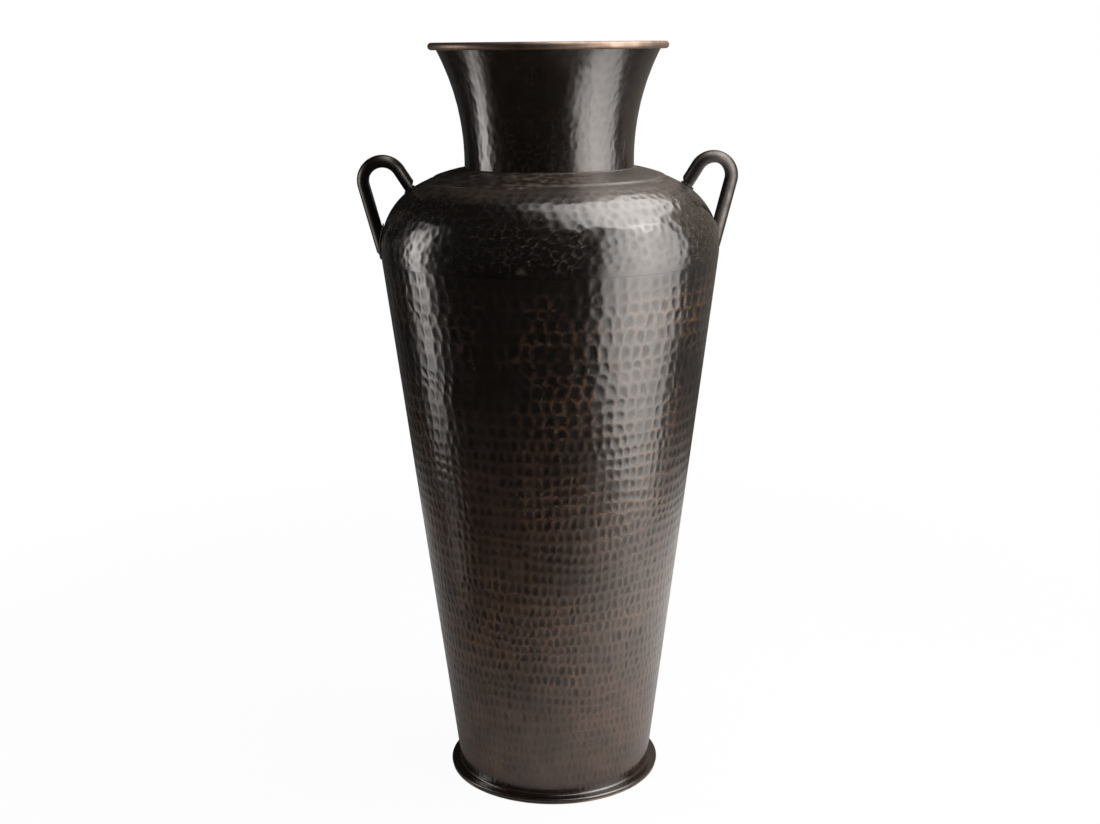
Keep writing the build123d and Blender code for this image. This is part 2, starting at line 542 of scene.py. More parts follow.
@dataclass(frozen=True)
class HammerRows:
    """Rows of hammer marks laid side by side round the straight side, in bands from the foot up."""

    bands: tuple[MarkBand, ...] = (MarkBand(105, 34, 0.715), MarkBand(84, 12, 0.285))
    columns: int = 420
    cuts: int = 4
    depth: float = 0.00042
    bowl_power: float = 2.2
    seed: int = 7
    # How far the marks stray, in marks, and how many waves the rows rise and fall in
    wander: float = 0.13
    scallop: float = 0.20
    row_wave: float = 0.26
    row_waves: int = 10
    # Mesh columns that a row may step aside, and how many rows at a band's edge are held back
    row_steps: tuple[int, ...] = (-1, 0, 0, 1, 2)
    held_rows: int = 3
    # How hard the blows are, in shares of the full depth, and how many rows at the foot are softer
    force: float = 0.74
    force_drift: float = 0.2
    force_waves: int = 14
    force_scatter: float = 0.16
    least_force: float = 0.15
    soft_rows: int = 7
    softest_row: float = 0.22

    def strike(self, piece: bpy.types.Object, foot: Point, lean: float, length: float) -> None:
        """Hammers the straight side of a turned piece.

        Args:
            piece: The turned piece.
            foot: Lower end of the straight side.
            lean: Lean of the side from upright.
            length: Length of the side.
        """
        draw = np.random.default_rng(self.seed)
        surface = Surface(piece)
        out = np.array((cos(radians(lean)), -sin(radians(lean))))
        up = np.array((sin(radians(lean)), cos(radians(lean))))
        offsets = np.column_stack((surface.radius - foot[0], surface.height - foot[1]))
        along = np.where(np.abs(offsets @ out) < ON_FACE, offsets @ up, -length) / length
        angle = surface.angle
        depth = np.zeros(len(along))
        piece.data.uv_layers.new(name=Marks.ROWS.value)
        start = 0.0
        rows_above = sum(band.rows for band in self.bands)
        for number, band in enumerate(self.bands):
            shifts = self.row_shifts(band, draw)
            level = (along - start) / band.share * band.rows
            self.number_marks(piece, band, shifts, -rows_above, angle, level)
            end = start + band.share
            chosen = np.flatnonzero((along > start - BAND_SLACK) & (along < end - BAND_SLACK))
            soft_rows = self.soft_rows if number == 0 else 1
            struck = self.strike_band(band, shifts, angle[chosen], level[chosen], soft_rows, draw)
            depth[chosen], turn, rise = struck
            new_along = length * (along[chosen] + rise * band.share)
            new_radius = foot[0] + new_along * up[0]
            surface.place(chosen, new_radius, angle[chosen] + turn, foot[1] + new_along * up[1])
            start = end
            rows_above -= band.rows
        surface.sink(depth)

    def row_shifts(self, band: MarkBand, draw: np.random.Generator) -> np.ndarray:
        """How far each row of a band steps sideways, in marks, by whole columns of the mesh."""
        columns_each = self.columns // band.marks_round
        return np.cumsum(draw.choice(self.row_steps, band.rows)) / columns_each

    def bowl(self, place: np.ndarray) -> np.ndarray:
        """Depth of places across a mark, as a share of the depth at its middle."""
        return 1 - np.abs(2 * place - 1) ** self.bowl_power

    def strike_band(
        self,
        band: MarkBand,
        shifts: np.ndarray,
        angle: np.ndarray,
        level: np.ndarray,
        soft_rows: int,
        draw: np.random.Generator,
    ) -> tuple[np.ndarray, np.ndarray, np.ndarray]:
        """Works out one band of marks.

        Args:
            band: The band.
            shifts: How far each of its rows steps sideways.
            angle: Angle of each vertex round the vase.
            level: Place of each vertex up the band, in rows.
            soft_rows: How many of the lowest rows are struck more softly.
            draw: The source of random numbers.

        Returns:
            The depth of each vertex, its turn round the vase and its rise in shares of the band.
        """
        across = angle * band.marks_round / FULL_TURN
        row, _ = within_marks(level)
        high = np.clip(level - row, 0, 1)
        column, right = within_marks(across - shifts[row])
        _, right_below = within_marks(across - shifts[np.maximum(row - 1, 0)])

        # Points of a net over the band stray, but the band's two edges stay put
        corners = (band.rows + 1, band.marks_round)
        lines = np.arange(band.rows + 1)
        turns = np.arange(band.marks_round) * FULL_TURN / band.marks_round
        places = np.stack(np.meshgrid(turns, lines * FULL_TURN / band.rows), axis=-1)
        free = np.clip(np.minimum(lines, band.rows - lines) / self.held_rows, 0, 1)[:, None]
        sideways = draw.normal(0, self.wander, corners) * free
        upwards = self.row_wave * drifting(places, self.row_waves, draw)
        upwards = (upwards + draw.normal(0, self.wander / 2, corners)) * free
        left, share = within_marks(across)
        left %= band.marks_round
        beside = (left + 1) % band.marks_round

        def blended(values: np.ndarray) -> np.ndarray:
            """Values at the net's points, blended over its squares.

            Args:
                values: A value for each point of the net.

            Returns:
                A value for each vertex.
            """
            lower = values[row, left] * (1 - share) + values[row, beside] * share
            upper = values[row + 1, left] * (1 - share) + values[row + 1, beside] * share
            return lower * (1 - high) + upper * high

        force = self.force + self.force_drift * drifting(places[:-1], self.force_waves, draw)
        force += draw.normal(0, self.force_scatter, (band.rows, band.marks_round))
        softly = np.clip(lines[1:, None] / soft_rows, self.softest_row, 1)
        force = np.clip(force, self.least_force, 1) * softly
        depth = self.depth * (self.bowl(right) * self.bowl(high)) * force[row, column % band.marks_round]
        arch = (2 * right - 1) ** 2 * high + (2 * right_below - 1) ** 2 * (1 - high)
        arch *= self.scallop * np.clip(np.minimum(level, band.rows - level), 0, 1)
        turn = blended(sideways) * FULL_TURN / band.marks_round
        return depth, turn, (blended(upwards) - arch) / band.rows

    @staticmethod
    def number_marks(
        piece: bpy.types.Object,
        band: MarkBand,
        shifts: np.ndarray,
        first_row: int,
        angle: np.ndarray,
        level: np.ndarray,
    ) -> None:
        """Numbers a band's marks in a UV map, which counts them round the vase and rows from the top.

        Args:
            piece: The turned piece, which has the UV map.
            band: The band.
            shifts: How far each of its rows steps sideways.
            first_row: Number of its lowest row, below 0 because rows are counted from the top.
            angle: Angle of each vertex round the vase.
            level: Place of each vertex up the band, in rows, and below 0 off the side.
        """
        mesh = piece.data
        vertex = np.zeros(len(mesh.loops), dtype=np.int32)
        mesh.loops.foreach_get("vertex_index", vertex)
        first = np.zeros(len(mesh.polygons), dtype=np.int32)
        mesh.polygons.foreach_get("loop_start", first)
        corners = np.diff(np.append(first, len(vertex)))
        face = np.repeat(np.arange(len(first)), corners)

        # A face that crosses the start of the turn counts on past the full turn
        turn = angle[vertex] / FULL_TURN
        start_turn = turn[first][face]
        turn = start_turn + (turn - start_turn + 0.5) % 1 - 0.5
        level = level[vertex]
        middle = (np.bincount(face, level) / corners)[face]
        inside = (middle > 0) & (middle < band.rows)
        row = np.floor(middle[inside]).astype(int)
        places = np.zeros(len(vertex) * 2)
        layer = mesh.uv_layers[Marks.ROWS.value]
        layer.data.foreach_get("uv", places)
        places = places.reshape(-1, 2)
        places[inside, 0] = turn[inside] * band.marks_round - shifts[row]
        places[inside, 1] = first_row + level[inside]
        layer.data.foreach_set("uv", places.ravel())


@dataclass(frozen=True)
class HammerBlows:
    """Free hammer blows over a turned face, each a shallow bowl that cuts into its neighbours.

    A pair of spacings, row heights or scatters is for the lower and the upper edge of the face.
    """

    spacing: Point
    row_height: Point
    half_width: float
    half_height: float
    depth: float
    scatter: Point
    ridge_width: float
    seed: int
    sizes: Point = (0.8, 1.25)
    forces: Point = (0.45, 1.0)
    reach: float = 1.3

    def strike(
        self,
        piece: bpy.types.Object,
        chosen: np.ndarray,
        along: np.ndarray,
        fade: np.ndarray,
    ) -> None:
        """Hammers part of a turned piece.

        Args:
            piece: The turned piece.
            chosen: The numbers of the vertices on the hammered face.
            along: How far up the face each of them lies.
            fade: How much of the full depth each of them takes, from 0 to 1.
        """
        draw = np.random.default_rng(self.seed)
        surface = Surface(piece)
        angle = surface.angle[chosen]
        radius = surface.radius[chosen]
        rising = np.argsort(along)
        deepest = np.full(len(chosen), -1.0)
        second = deepest.copy()
        tint = np.full(len(chosen), PLAIN_TINT)
        ends = (along.min(), along.max())
        level = ends[0] - self.row_height[0]
        while level < ends[1] + self.row_height[1]:
            pairs = (self.row_height, self.spacing, self.scatter)
            row_height, spacing, scatter = (float(np.interp(level, ends, pair)) for pair in pairs)
            mean_radius = float(np.interp(level, along[rising], radius[rising]))
            count = round(FULL_TURN * mean_radius / spacing)
            start = draw.random()
            for number in range(count):
                centre = (number + start + draw.normal(0, scatter)) * FULL_TURN / count
                climb = level + draw.normal(0, scatter) * row_height
                width = self.half_width * draw.uniform(*self.sizes)
                tall = self.half_height * draw.uniform(*self.sizes)
                force = draw.uniform(*self.forces)
                shade = draw.random()
                near = np.flatnonzero(np.abs(along - climb) < self.reach * tall)
                side = (angle[near] - centre + pi) % FULL_TURN - pi
                bowl = 1 - (side * radius[near] / width) ** 2 - ((along[near] - climb) / tall) ** 2
                bowl *= force
                deeper = bowl > deepest[near]
                second[near] = np.where(deeper, deepest[near], np.maximum(second[near], bowl))
                tint[near] = np.where(deeper, shade, tint[near])
                deepest[near] = np.where(deeper, bowl, deepest[near])
            level += row_height
        struck = np.clip(deepest, 0, 1) * fade
        # The two deepest bowls of a place are equally deep on the ridge between them
        apart = np.abs(deepest - np.maximum(second, 0))
        ridge = np.clip(1 - apart / self.ridge_width, 0, 1) * fade
        surface.sink(surface.spread(chosen, self.depth * struck))
        surface.keep("ridge", surface.spread(chosen, ridge))
        surface.keep("mark", surface.spread(chosen, struck))
        surface.keep("tint", surface.spread(chosen, tint, PLAIN_TINT))


@dataclass(frozen=True)
class Fade:
    """Change between two levels over a span of values, which stays level beyond the span."""

    span: Point
    levels: Point = FULL_RANGE


@dataclass(frozen=True)
class Cloud:
    """Noise whose values are carried along a fade."""

    scale: float
    detail: float
    fade: Fade


class Nodes:
    """Adds nodes to one tree, with each input given as a value or as the socket that feeds it."""

    def __init__(self, tree: bpy.types.NodeTree) -> None:
        """Takes the tree to add nodes to."""
        self.tree = tree

    def add(self, kind: str, inputs: Inputs | None = None, **settings: object) -> bpy.types.Node:
        """Adds one node.

        Args:
            kind: The node's type, without the ShaderNode in front.
            inputs: Values or sockets by input name or number.
            settings: The node's own settings.

        Returns:
            The new node.
        """
        node = self.tree.nodes.new("ShaderNode" + kind)
        for name, value in settings.items():
            setattr(node, name, value)
        self.feed(node, inputs or {})
        return node

    def feed(self, node: bpy.types.Node, inputs: Inputs) -> None:
        """Sets or links inputs of a node.

        Args:
            node: The node.
            inputs: Values or sockets by input name or number.
        """
        for key, value in inputs.items():
            if isinstance(value, Socket):
                self.tree.links.new(value, node.inputs[key])
            else:
                node.inputs[key].default_value = value

    def group(self, made: bpy.types.NodeTree, inputs: Inputs) -> dict[str, Socket]:
        """Places a node group with its own inputs, and gives its outputs by name."""
        return dict(self.add("Group", inputs, node_tree=made).outputs.items())

    def noise(self, place: Socket, scale: float, detail: float) -> Socket:
        """Noise from 0 to 1 over a place."""
        return self.add("TexNoise", {"Vector": place, "Scale": scale, "Detail": detail}).outputs[0]

    def ramp(self, value: Socket, span: Point, levels: tuple[object, object] = FULL_RANGE) -> Socket:
        """Value carried from a span to the levels at its two ends, and held beyond them."""
        return self.add("MapRange", dict(enumerate((value, *span, *levels)))).outputs[0]

    def fade(self, value: Socket, fade: Fade) -> Socket:
        """Value carried along a fade."""
        return self.ramp(value, fade.span, fade.levels)

    def cloud(self, place: Socket, cloud: Cloud) -> Socket:
        """Noise over a place, carried along its fade."""
        return self.fade(self.noise(place, cloud.scale, cloud.detail), cloud.fade)

    def math(self, operation: str, first: object, second: object = 0.0) -> Socket:
        """One sum on two values."""
        return self.add("Math", {0: first, 1: second}, operation=operation).outputs[0]

    def product(self, first: Socket, *others: object) -> Socket:
        """Product of several values.

        Args:
            first: The first value.
            others: The values that it is multiplied by.

        Returns:
            The product.
        """
        for other in others:
            first = self.math("MULTIPLY", first, other)
        return first

    def vector(self, operation: str, first: object, second: object = (0, 0, 0)) -> Socket:
        """One sum on two places, which gives a place."""
        return self.add("VectorMath", {0: first, 1: second}, operation=operation).outputs["Vector"]

    def measure(self, operation: str, first: object, second: object = (0, 0, 0)) -> Socket:
        """One sum on two places, which gives a value."""
        return self.add("VectorMath", {0: first, 1: second}, operation=operation).outputs["Value"]

    def parts(self, place: Socket) -> list[Socket]:
        """The three parts of a place along the axes."""
        return list(self.add("SeparateXYZ", {0: place}).outputs)

    def mix(self, factor: object, first: object, second: object) -> Socket:
        """Colour between two colours."""
        return self.add("Mix", {0: factor, 6: first, 7: second}, data_type="RGBA").outputs[2]

    def attribute(self, name: str) -> Socket:
        """Value of one of the piece's own attributes."""
        return self.add("Attribute", attribute_name=name).outputs["Fac"]

    def place(self) -> Socket:
        """Place on the piece in object coordinates."""
        return self.add("TexCoord").outputs["Object"]


def emptied(owner: bpy.types.ID) -> Nodes:
    """Takes the default nodes away from a material, a light or a world.

    Args:
        owner: What the nodes belong to.

    Returns:
        Its empty tree.
    """
    owner.use_nodes = True
    owner.node_tree.nodes.clear()
    return Nodes(owner.node_tree)


def new_group(
    name: str,
    inputs: dict[str, str],
    outputs: dict[str, str],
) -> tuple[Nodes, dict[str, Socket], bpy.types.Node]:
    """Starts a shader node group.

    Args:
        name: The name of the group.
        inputs: Socket kinds by input name.
        outputs: Socket kinds by output name.

    Returns:
        The group's nodes, its inputs by name and the node that takes its outputs.
    """
    tree = bpy.data.node_groups.new(name, "ShaderNodeTree")
    for direction, sockets in (("INPUT", inputs), ("OUTPUT", outputs)):
        for label, kind in sockets.items():
            tree.interface.new_socket(label, in_out=direction, socket_type="NodeSocket" + kind)
    entry = tree.nodes.new("NodeGroupInput")
    result = tree.nodes.new("NodeGroupOutput")
    return Nodes(tree), {label: entry.outputs[label] for label in inputs}, result


@dataclass(frozen=True)
class AgedPatina:
    """Dark patina that stays in the hammer marks and is rubbed to copper on their ridges."""

    # Noise that spares some ridges, breaks the copper up, clouds the brown and weakens some hollows
    patches: Cloud = Cloud(11.0, 3.0, Fade((0.42, 0.66), (0.06, 1.0)))
    breaks: Cloud = Cloud(170.0, 4.0, Fade((0.40, 0.62), (0.08, 1.0)))
    blotches: Cloud = Cloud(46.0, 4.0, Fade((0.35, 0.68), (0.45, 1.0)))
    weak_hollows: Cloud = Cloud(15.0, 2.0, Fade((0.40, 0.54), (0.72, 1.0)))
    # Changes with the height: crispness of the marks, darker ledge, less brown, worn crown
    crisp: Fade = Fade((0.06, 0.145), (0.38, 1.0))
    ledge: Fade = Fade((0.009, 0.02), (0.12, 1.0))
    brown_span: Point = (0.14, 0.42)
    crown_span: Point = (0.573, 0.584)
    # Changes from the left to the right of the vase, which is painted light: more bare copper on the lit
    # right side. Changes also with the tint of the mark
    lit_side: Fade = Fade((-0.09, 0.05), (0.5, 1.0))
    tinted: Fade = Fade((0.1, 0.9), (0.6, 1.0))

    def group(self) -> bpy.types.NodeTree:
        """Builds the node group.

        Returns:
            The group, which gives the colour, the bare ridges, the dark hollows and the worn crown.
        """
        colours = dict.fromkeys(("Dark", "Brown", "Hollow", "Copper"), "Color")
        values = dict.fromkeys(("Ridge", "Mark", "Tint", "Wear", "Rubbed", "Crown"), "Float")
        results = {"Colour": "Color", "Bare": "Float", "Sunk": "Float", "Worn": "Float"}
        nodes, given, result = new_group("aged_patina", {**colours, **values}, results)
        place = nodes.place()
        aside, _, height = nodes.parts(place)
        crisp = nodes.fade(height, self.crisp)
        # Painted light: the bare copper on the ridges is real wear, but the ramp makes it stronger towards
        # the lit right side
        lit_side = nodes.fade(aside, self.lit_side)
        bare = nodes.product(given["Ridge"], nodes.cloud(place, self.patches), crisp, lit_side)
        bare = nodes.product(bare, nodes.cloud(place, self.breaks), given["Wear"])
        sunk = nodes.product(given["Mark"], nodes.fade(given["Tint"], self.tinted), crisp)
        sunk = nodes.product(sunk, nodes.cloud(place, self.weak_hollows))
        worn = nodes.ramp(height, self.crown_span, (0.0, given["Crown"]))
        rubbed = nodes.ramp(height, self.brown_span, (1.0, given["Rubbed"]))
        rubbed = nodes.product(rubbed, nodes.fade(height, self.ledge))
        rubbed = nodes.product(nodes.math("MAXIMUM", rubbed, worn), nodes.cloud(place, self.blotches))
        ground = nodes.mix(rubbed, given["Dark"], given["Brown"])
        ground = nodes.mix(sunk, ground, given["Hollow"])
        colour = nodes.mix(bare, ground, given["Copper"])
        nodes.feed(result, {"Colour": colour, "Bare": bare, "Sunk": sunk, "Worn": worn})
        return nodes.tree


@dataclass(frozen=True)
class MarkRows:
    """Hammer marks in rows, each a squarish oval in one unit square of the place that is given."""

    stray_scale: float = 110.0
    stray_detail: float = 2.0
    stray_middle: Point3 = (0.5, 0.5, 0.5)
    stray: Point3 = (0.55, 0.4, 0)
    struck: Fade = Fade(FULL_RANGE, (0.45, 1.0))
    # Middle of the oval, one over its half sizes and how square it is
    middle: Point3 = (0.5, 0.47, 0)
    over_sizes: Point3 = (2.3, 2.15, 0)
    squareness: float = 3.0
    edge: Fade = Fade((0.46, 0.96), (1.0, 0.0))
    bowl: Fade = Fade((0.0, 1.1), (1.0, 0.0))
    # Ridge between the marks, and the rows below the top over which marks and ridges set in
    aside_share: float = 0.75
    ridge: Fade = Fade((0.03, 0.21), (1.0, 0.0))
    marks_start: Fade = Fade((0.05, 0.6))
    ridges_start: Fade = Fade((0.3, 2.4))

    def group(self) -> bpy.types.NodeTree:
        """Builds the node group.

        Returns:
            The group, which gives the ridges, the marks, the tint of each and its bowl.
        """
        results = dict.fromkeys(("Ridge", "Mark", "Tint", "Bowl"), "Float")
        nodes, given, result = new_group("mark_rows", {"Place": "Vector"}, results)
        noise = {"Vector": nodes.place(), "Scale": self.stray_scale, "Detail": self.stray_detail}
        stray = nodes.add("TexNoise", noise).outputs["Color"]
        stray = nodes.vector("SUBTRACT", stray, self.stray_middle)
        strayed = nodes.vector("ADD", given["Place"], nodes.vector("MULTIPLY", stray, self.stray))
        local = nodes.vector("FRACTION", strayed)
        tint = nodes.add("TexWhiteNoise", {"Vector": nodes.vector("FLOOR", strayed)}).outputs["Value"]
        struck = nodes.fade(tint, self.struck)

        oval = nodes.vector("MULTIPLY", nodes.vector("SUBTRACT", local, self.middle), self.over_sizes)
        sides = (nodes.math("ABSOLUTE", side) for side in nodes.parts(oval)[:2])
        reach = nodes.math("ADD", *(nodes.math("POWER", side, self.squareness) for side in sides))
        reach = nodes.math("POWER", reach, 1 / self.squareness)
        bowl = nodes.product(nodes.fade(nodes.product(reach, reach), self.bowl), struck)

        below_top = nodes.product(nodes.parts(given["Place"])[1], -1.0)
        mark = nodes.product(nodes.fade(reach, self.edge), struck, nodes.fade(below_top, self.marks_start))
        aside, above = (nodes.math("PINGPONG", part, 0.5) for part in nodes.parts(local)[:2])
        edge = nodes.math("MINIMUM", nodes.product(aside, self.aside_share), above)
        ridge = nodes.product(nodes.fade(edge, self.ridge), nodes.fade(below_top, self.ridges_start))
        nodes.feed(result, {"Ridge": ridge, "Mark": mark, "Tint": tint, "Bowl": bowl})
        return nodes.tree


@dataclass(frozen=True)
class RubbedGrain:
    """Fine grain and soft smears left by rubbing the metal down."""

    fine_scale: float = 900.0
    fine_detail: float = 2.0
    fine_share: float = 0.35
    soft_scale: float = 120.0
    soft_detail: float = 4.0
    smear: Fade = Fade((0.32, 0.68))

    def group(self) -> bpy.types.NodeTree:
        """Builds the node group.

        Returns:
            The group, which gives the height of the grain and the smears.
        """
        results = {"Height": "Float", "Smear": "Float"}
        nodes, given, result = new_group("rubbed_grain", {"Place": "Vector"}, results)
        fine = nodes.noise(given["Place"], self.fine_scale, self.fine_detail)
        soft = nodes.noise(given["Place"], self.soft_scale, self.soft_detail)
        fine = nodes.product(fine, self.fine_share)
        height = nodes.math("ADD", fine, nodes.product(soft, 1 - self.fine_share))
        nodes.feed(result, {"Height": height, "Smear": nodes.fade(soft, self.smear)})
        return nodes.tree


class SharedEffects:
    """Shader effects that several finishes use, each built once as a node group."""

    def __init__(self) -> None:
        """Builds the groups."""
        self.patina = AgedPatina().group()
        self.grain = RubbedGrain().group()
        self.rows = MarkRows().group()


def new_material(name: str, colour: Colour) -> tuple[bpy.types.Material, Nodes, bpy.types.Node]:
    """Starts a material with one Principled shader.

    Args:
        name: The name of the material.
        colour: The colour it shows where shaders aren't drawn.

    Returns:
        The material, its nodes and its Principled shader.
    """
    material = bpy.data.materials.new(name)
    material.diffuse_color = colour
    nodes = emptied(material)
    shader = nodes.add("BsdfPrincipled")
    nodes.add("OutputMaterial", {"Surface": shader.outputs[0]})
    return material, nodes, shader


@dataclass(frozen=True)
class Patina:
    """Lacquered dark patina over copper sheet.

    A pair of metal or coat levels is for the ground and for the hollows of the marks.
    """

    name: str
    marks: Marks
    wear: float
    streaks: Point3
    dark: Colour = (0.0072, 0.0046, 0.0032, 1)
    brown: Colour = (0.086, 0.043, 0.025, 1)
    hollow: Colour = (0.0095, 0.0083, 0.0078, 1)
    copper: Colour = (0.160, 0.074, 0.031, 1)
    sheen: Colour = (1.0, 0.93, 0.88, 1)
    rubbed: float = 0.03
    crown: float = 0.0
    smooth: float = 0.17
    dull: float = 0.27
    bare_rough: float = 0.12
    worn_rough: float = 0.2
    grain_height: float = 0.00004
    grain_strength: float = 0.6
    bowl_height: float = 0.00012
    spun_turn: float = 0.012
    metal: Point = (0.05, 0.38)
    coat: Point = (0.5, 0.2)
    coat_rough: float = 0.14
    worn_gloss: float = 0.3
    ior: float = 2.4

    def material(self, effects: SharedEffects) -> bpy.types.Material:
        """Makes the material.

        Args:
            effects: The shared node groups.

        Returns:
            The finished material.
        """
        material, nodes, shader = new_material(self.name, self.dark)
        place = nodes.place()
        if self.marks is Marks.NONE:
            place = self.ring_place(nodes, place)
        stretched = nodes.add("Mapping", {"Vector": place, "Scale": self.streaks}).outputs[0]
        grain = nodes.group(effects.grain, {"Place": stretched})
        marks = {"Ridge": grain["Smear"], "Mark": 0.0, "Tint": PLAIN_TINT}
        bump = {"Height": grain["Height"], "Strength": self.grain_strength, "Distance": self.grain_height}
        normal = nodes.add("Bump", bump).outputs[0]
        if self.marks is Marks.BLOWS:
            marks = {name: nodes.attribute(name.lower()) for name in marks}
        if self.marks is Marks.ROWS:
            numbers = nodes.add("UVMap", uv_map=self.marks.value).outputs["UV"]
            rows = nodes.group(effects.rows, {"Place": numbers})
            marks = {name: rows[name] for name in marks}
            bump = {"Height": rows["Bowl"], "Normal": normal, "Distance": self.bowl_height}
            normal = nodes.add("Bump", bump, invert=True).outputs[0]
        colours = {"Dark": self.dark, "Brown": self.brown, "Hollow": self.hollow, "Copper": self.copper}
        levels = {"Wear": self.wear, "Rubbed": self.rubbed, "Crown": self.crown}
        patina = nodes.group(effects.patina, {**marks, **colours, **levels})
        rough = nodes.ramp(grain["Smear"], FULL_RANGE, (self.smooth, self.dull))
        rough = nodes.math("ADD", rough, nodes.product(patina["Bare"], self.bare_rough))
        rough = nodes.math("ADD", rough, nodes.product(patina["Worn"], self.worn_rough))
        surface = {
            "Base Color": patina["Colour"],
            "Metallic": self.gloss(nodes, patina, self.metal),
            "Roughness": rough,
            "IOR": self.ior,
            "Specular Tint": self.sheen,
            "Coat Weight": self.gloss(nodes, patina, self.coat),
            "Coat Roughness": self.coat_rough,
            "Normal": normal,
        }
        nodes.feed(shader, surface)
        return material

    def gloss(self, nodes: Nodes, patina: dict[str, Socket], levels: Point) -> float | Socket:
        """Level of a gloss, which differs in the hollows and is lost on the worn crown.

        Args:
            nodes: The nodes of the material.
            patina: The results of the shared patina.
            levels: The levels on the ground and in the hollows.

        Returns:
            The level, as one value where the piece has no marks.
        """
        if self.marks is Marks.NONE:
            return levels[0]
        level = nodes.ramp(patina["Sunk"], FULL_RANGE, levels)
        return nodes.product(level, nodes.ramp(patina["Worn"], FULL_RANGE, (1.0, self.worn_gloss)))

    def ring_place(self, nodes: Nodes, place: Socket) -> Socket:
        """Place that changes quickly with the distance from the vase's axis and slowly round it.

        Args:
            nodes: The nodes of the material.
            place: The place on the piece.

        Returns:
            The place to read noise at.
        """
        level = nodes.vector("MULTIPLY", place, (1, 1, 0))
        outward = nodes.vector("NORMALIZE", level)
        outward = nodes.vector("MULTIPLY", outward, (self.spun_turn, self.spun_turn, 0))
        radius = nodes.add("CombineXYZ", {"Z": nodes.measure("LENGTH", level)}).outputs[0]
        return nodes.vector("ADD", outward, radius)


@dataclass(frozen=True)
class RubbedMetal:
    """Bare or blackened metal with a rubbed grain and smears of a second colour."""

    name: str
    clean: Colour
    tarnish: Colour
    metallic: float
    smooth: float
    dull: float
    smear_scale: float = 60.0
    smear_detail: float = 4.0
    smear: Fade = Fade((0.38, 0.66))
    grain_levels: Point = (0.55, 1.0)
    grain_height: float = 0.00005
    grain_strength: float = 0.6

    def material(self, effects: SharedEffects) -> bpy.types.Material:
        """Makes the material.

        Args:
            effects: The shared node groups.

        Returns:
            The finished material.
        """
        material, nodes, shader = new_material(self.name, self.clean)
        place = nodes.place()
        grain = nodes.group(effects.grain, {"Place": place})
        smears = nodes.cloud(place, Cloud(self.smear_scale, self.smear_detail, self.smear))
        smears = nodes.product(smears, nodes.ramp(grain["Smear"], FULL_RANGE, self.grain_levels))
        bump = {"Height": grain["Height"], "Strength": self.grain_strength, "Distance": self.grain_height}
        surface = {
            "Base Color": nodes.mix(smears, self.clean, self.tarnish),
            "Metallic": self.metallic,
            "Roughness": nodes.ramp(smears, FULL_RANGE, (self.smooth, self.dull)),
            "Normal": nodes.add("Bump", bump).outputs[0],
        }
        nodes.feed(shader, surface)
        return material


@dataclass
class BaseDisc:
    """Flat copper disc under the foot."""

    form: VesselForm
    finish: bpy.types.Material
    inset: float = 0.0006
    edge_round: float = 0.0005
    columns: int = 256

    def build(self) -> None:
        """Turns the disc and dresses it."""
        radius = self.form.foot_radius - self.inset
        top = self.form.base_thickness
        section = Section("base_plate", (0, 0))
        section.to((radius - self.edge_round, 0), steps=12)
        section.round((radius - self.edge_round, self.edge_round), 90, steps=4)
        section.to((radius, top - self.edge_round))
        section.round((radius - self.edge_round, top - self.edge_round), 90, steps=4)
        section.to((0, top), steps=3)
        disc = section.turned(self.columns)
        seat(disc, self.finish, Slot.COPPER, "base_disc")


@dataclass
class TaperedBody:
    """Tall hammered side with the out-turned and hemmed ledge at its foot."""

    form: VesselForm
    finish: bpy.types.Material
    rows: HammerRows = HammerRows()
    foot_bend: float = 0.002
    hem_return: float = 0.007

    def build(self) -> None:
        """Turns the sheet, hammers its side and dresses it."""
        form = self.form
        lean = form.taper
        bend_across = self.foot_bend * (sin(radians(lean)) + 1) / cos(radians(lean))
        bend_centre = (form.body_foot_radius + bend_across, form.ledge_height + self.foot_bend)
        hem_centre = (form.foot_radius - form.hem_radius, form.base_thickness + form.hem_radius)
        hem_end = form.foot_radius - self.hem_return
        side_top = form.side_point(0, 0)
        side_foot = polar(bend_centre, self.foot_bend, 180 - lean)
        down = flat(side_foot) - flat(side_top)
        inner_bend = self.foot_bend + form.wall
        section = Section("hammered_side", side_top)
        for band in reversed(self.rows.bands):
            section.line(section.end + down * band.share, band.rows * self.rows.cuts)
        section.round(bend_centre, 90 + lean, steps=5)
        section.to(polar(hem_centre, form.hem_radius, 90), steps=2)
        section.round(hem_centre, -180, steps=9)
        section.to((hem_end, form.base_thickness))
        section.to((hem_end, form.base_thickness + form.wall))
        section.to(polar(hem_centre, form.hem_gap / 2, -90))
        section.round(hem_centre, 180, steps=3)
        section.to(polar(bend_centre, inner_bend, -90))
        section.round(bend_centre, -90 - lean, steps=3)
        section.to(form.side_point(-form.wall, 0), steps=4)
        section.to(side_top)
        body = section.turned(self.rows.columns)
        length = hypot(side_top[0] - side_foot[0], side_top[1] - side_foot[1])
        self.rows.strike(body, side_foot, lean, length)
        seat(body, self.finish, Slot.HAMMERED, "tapered_body")


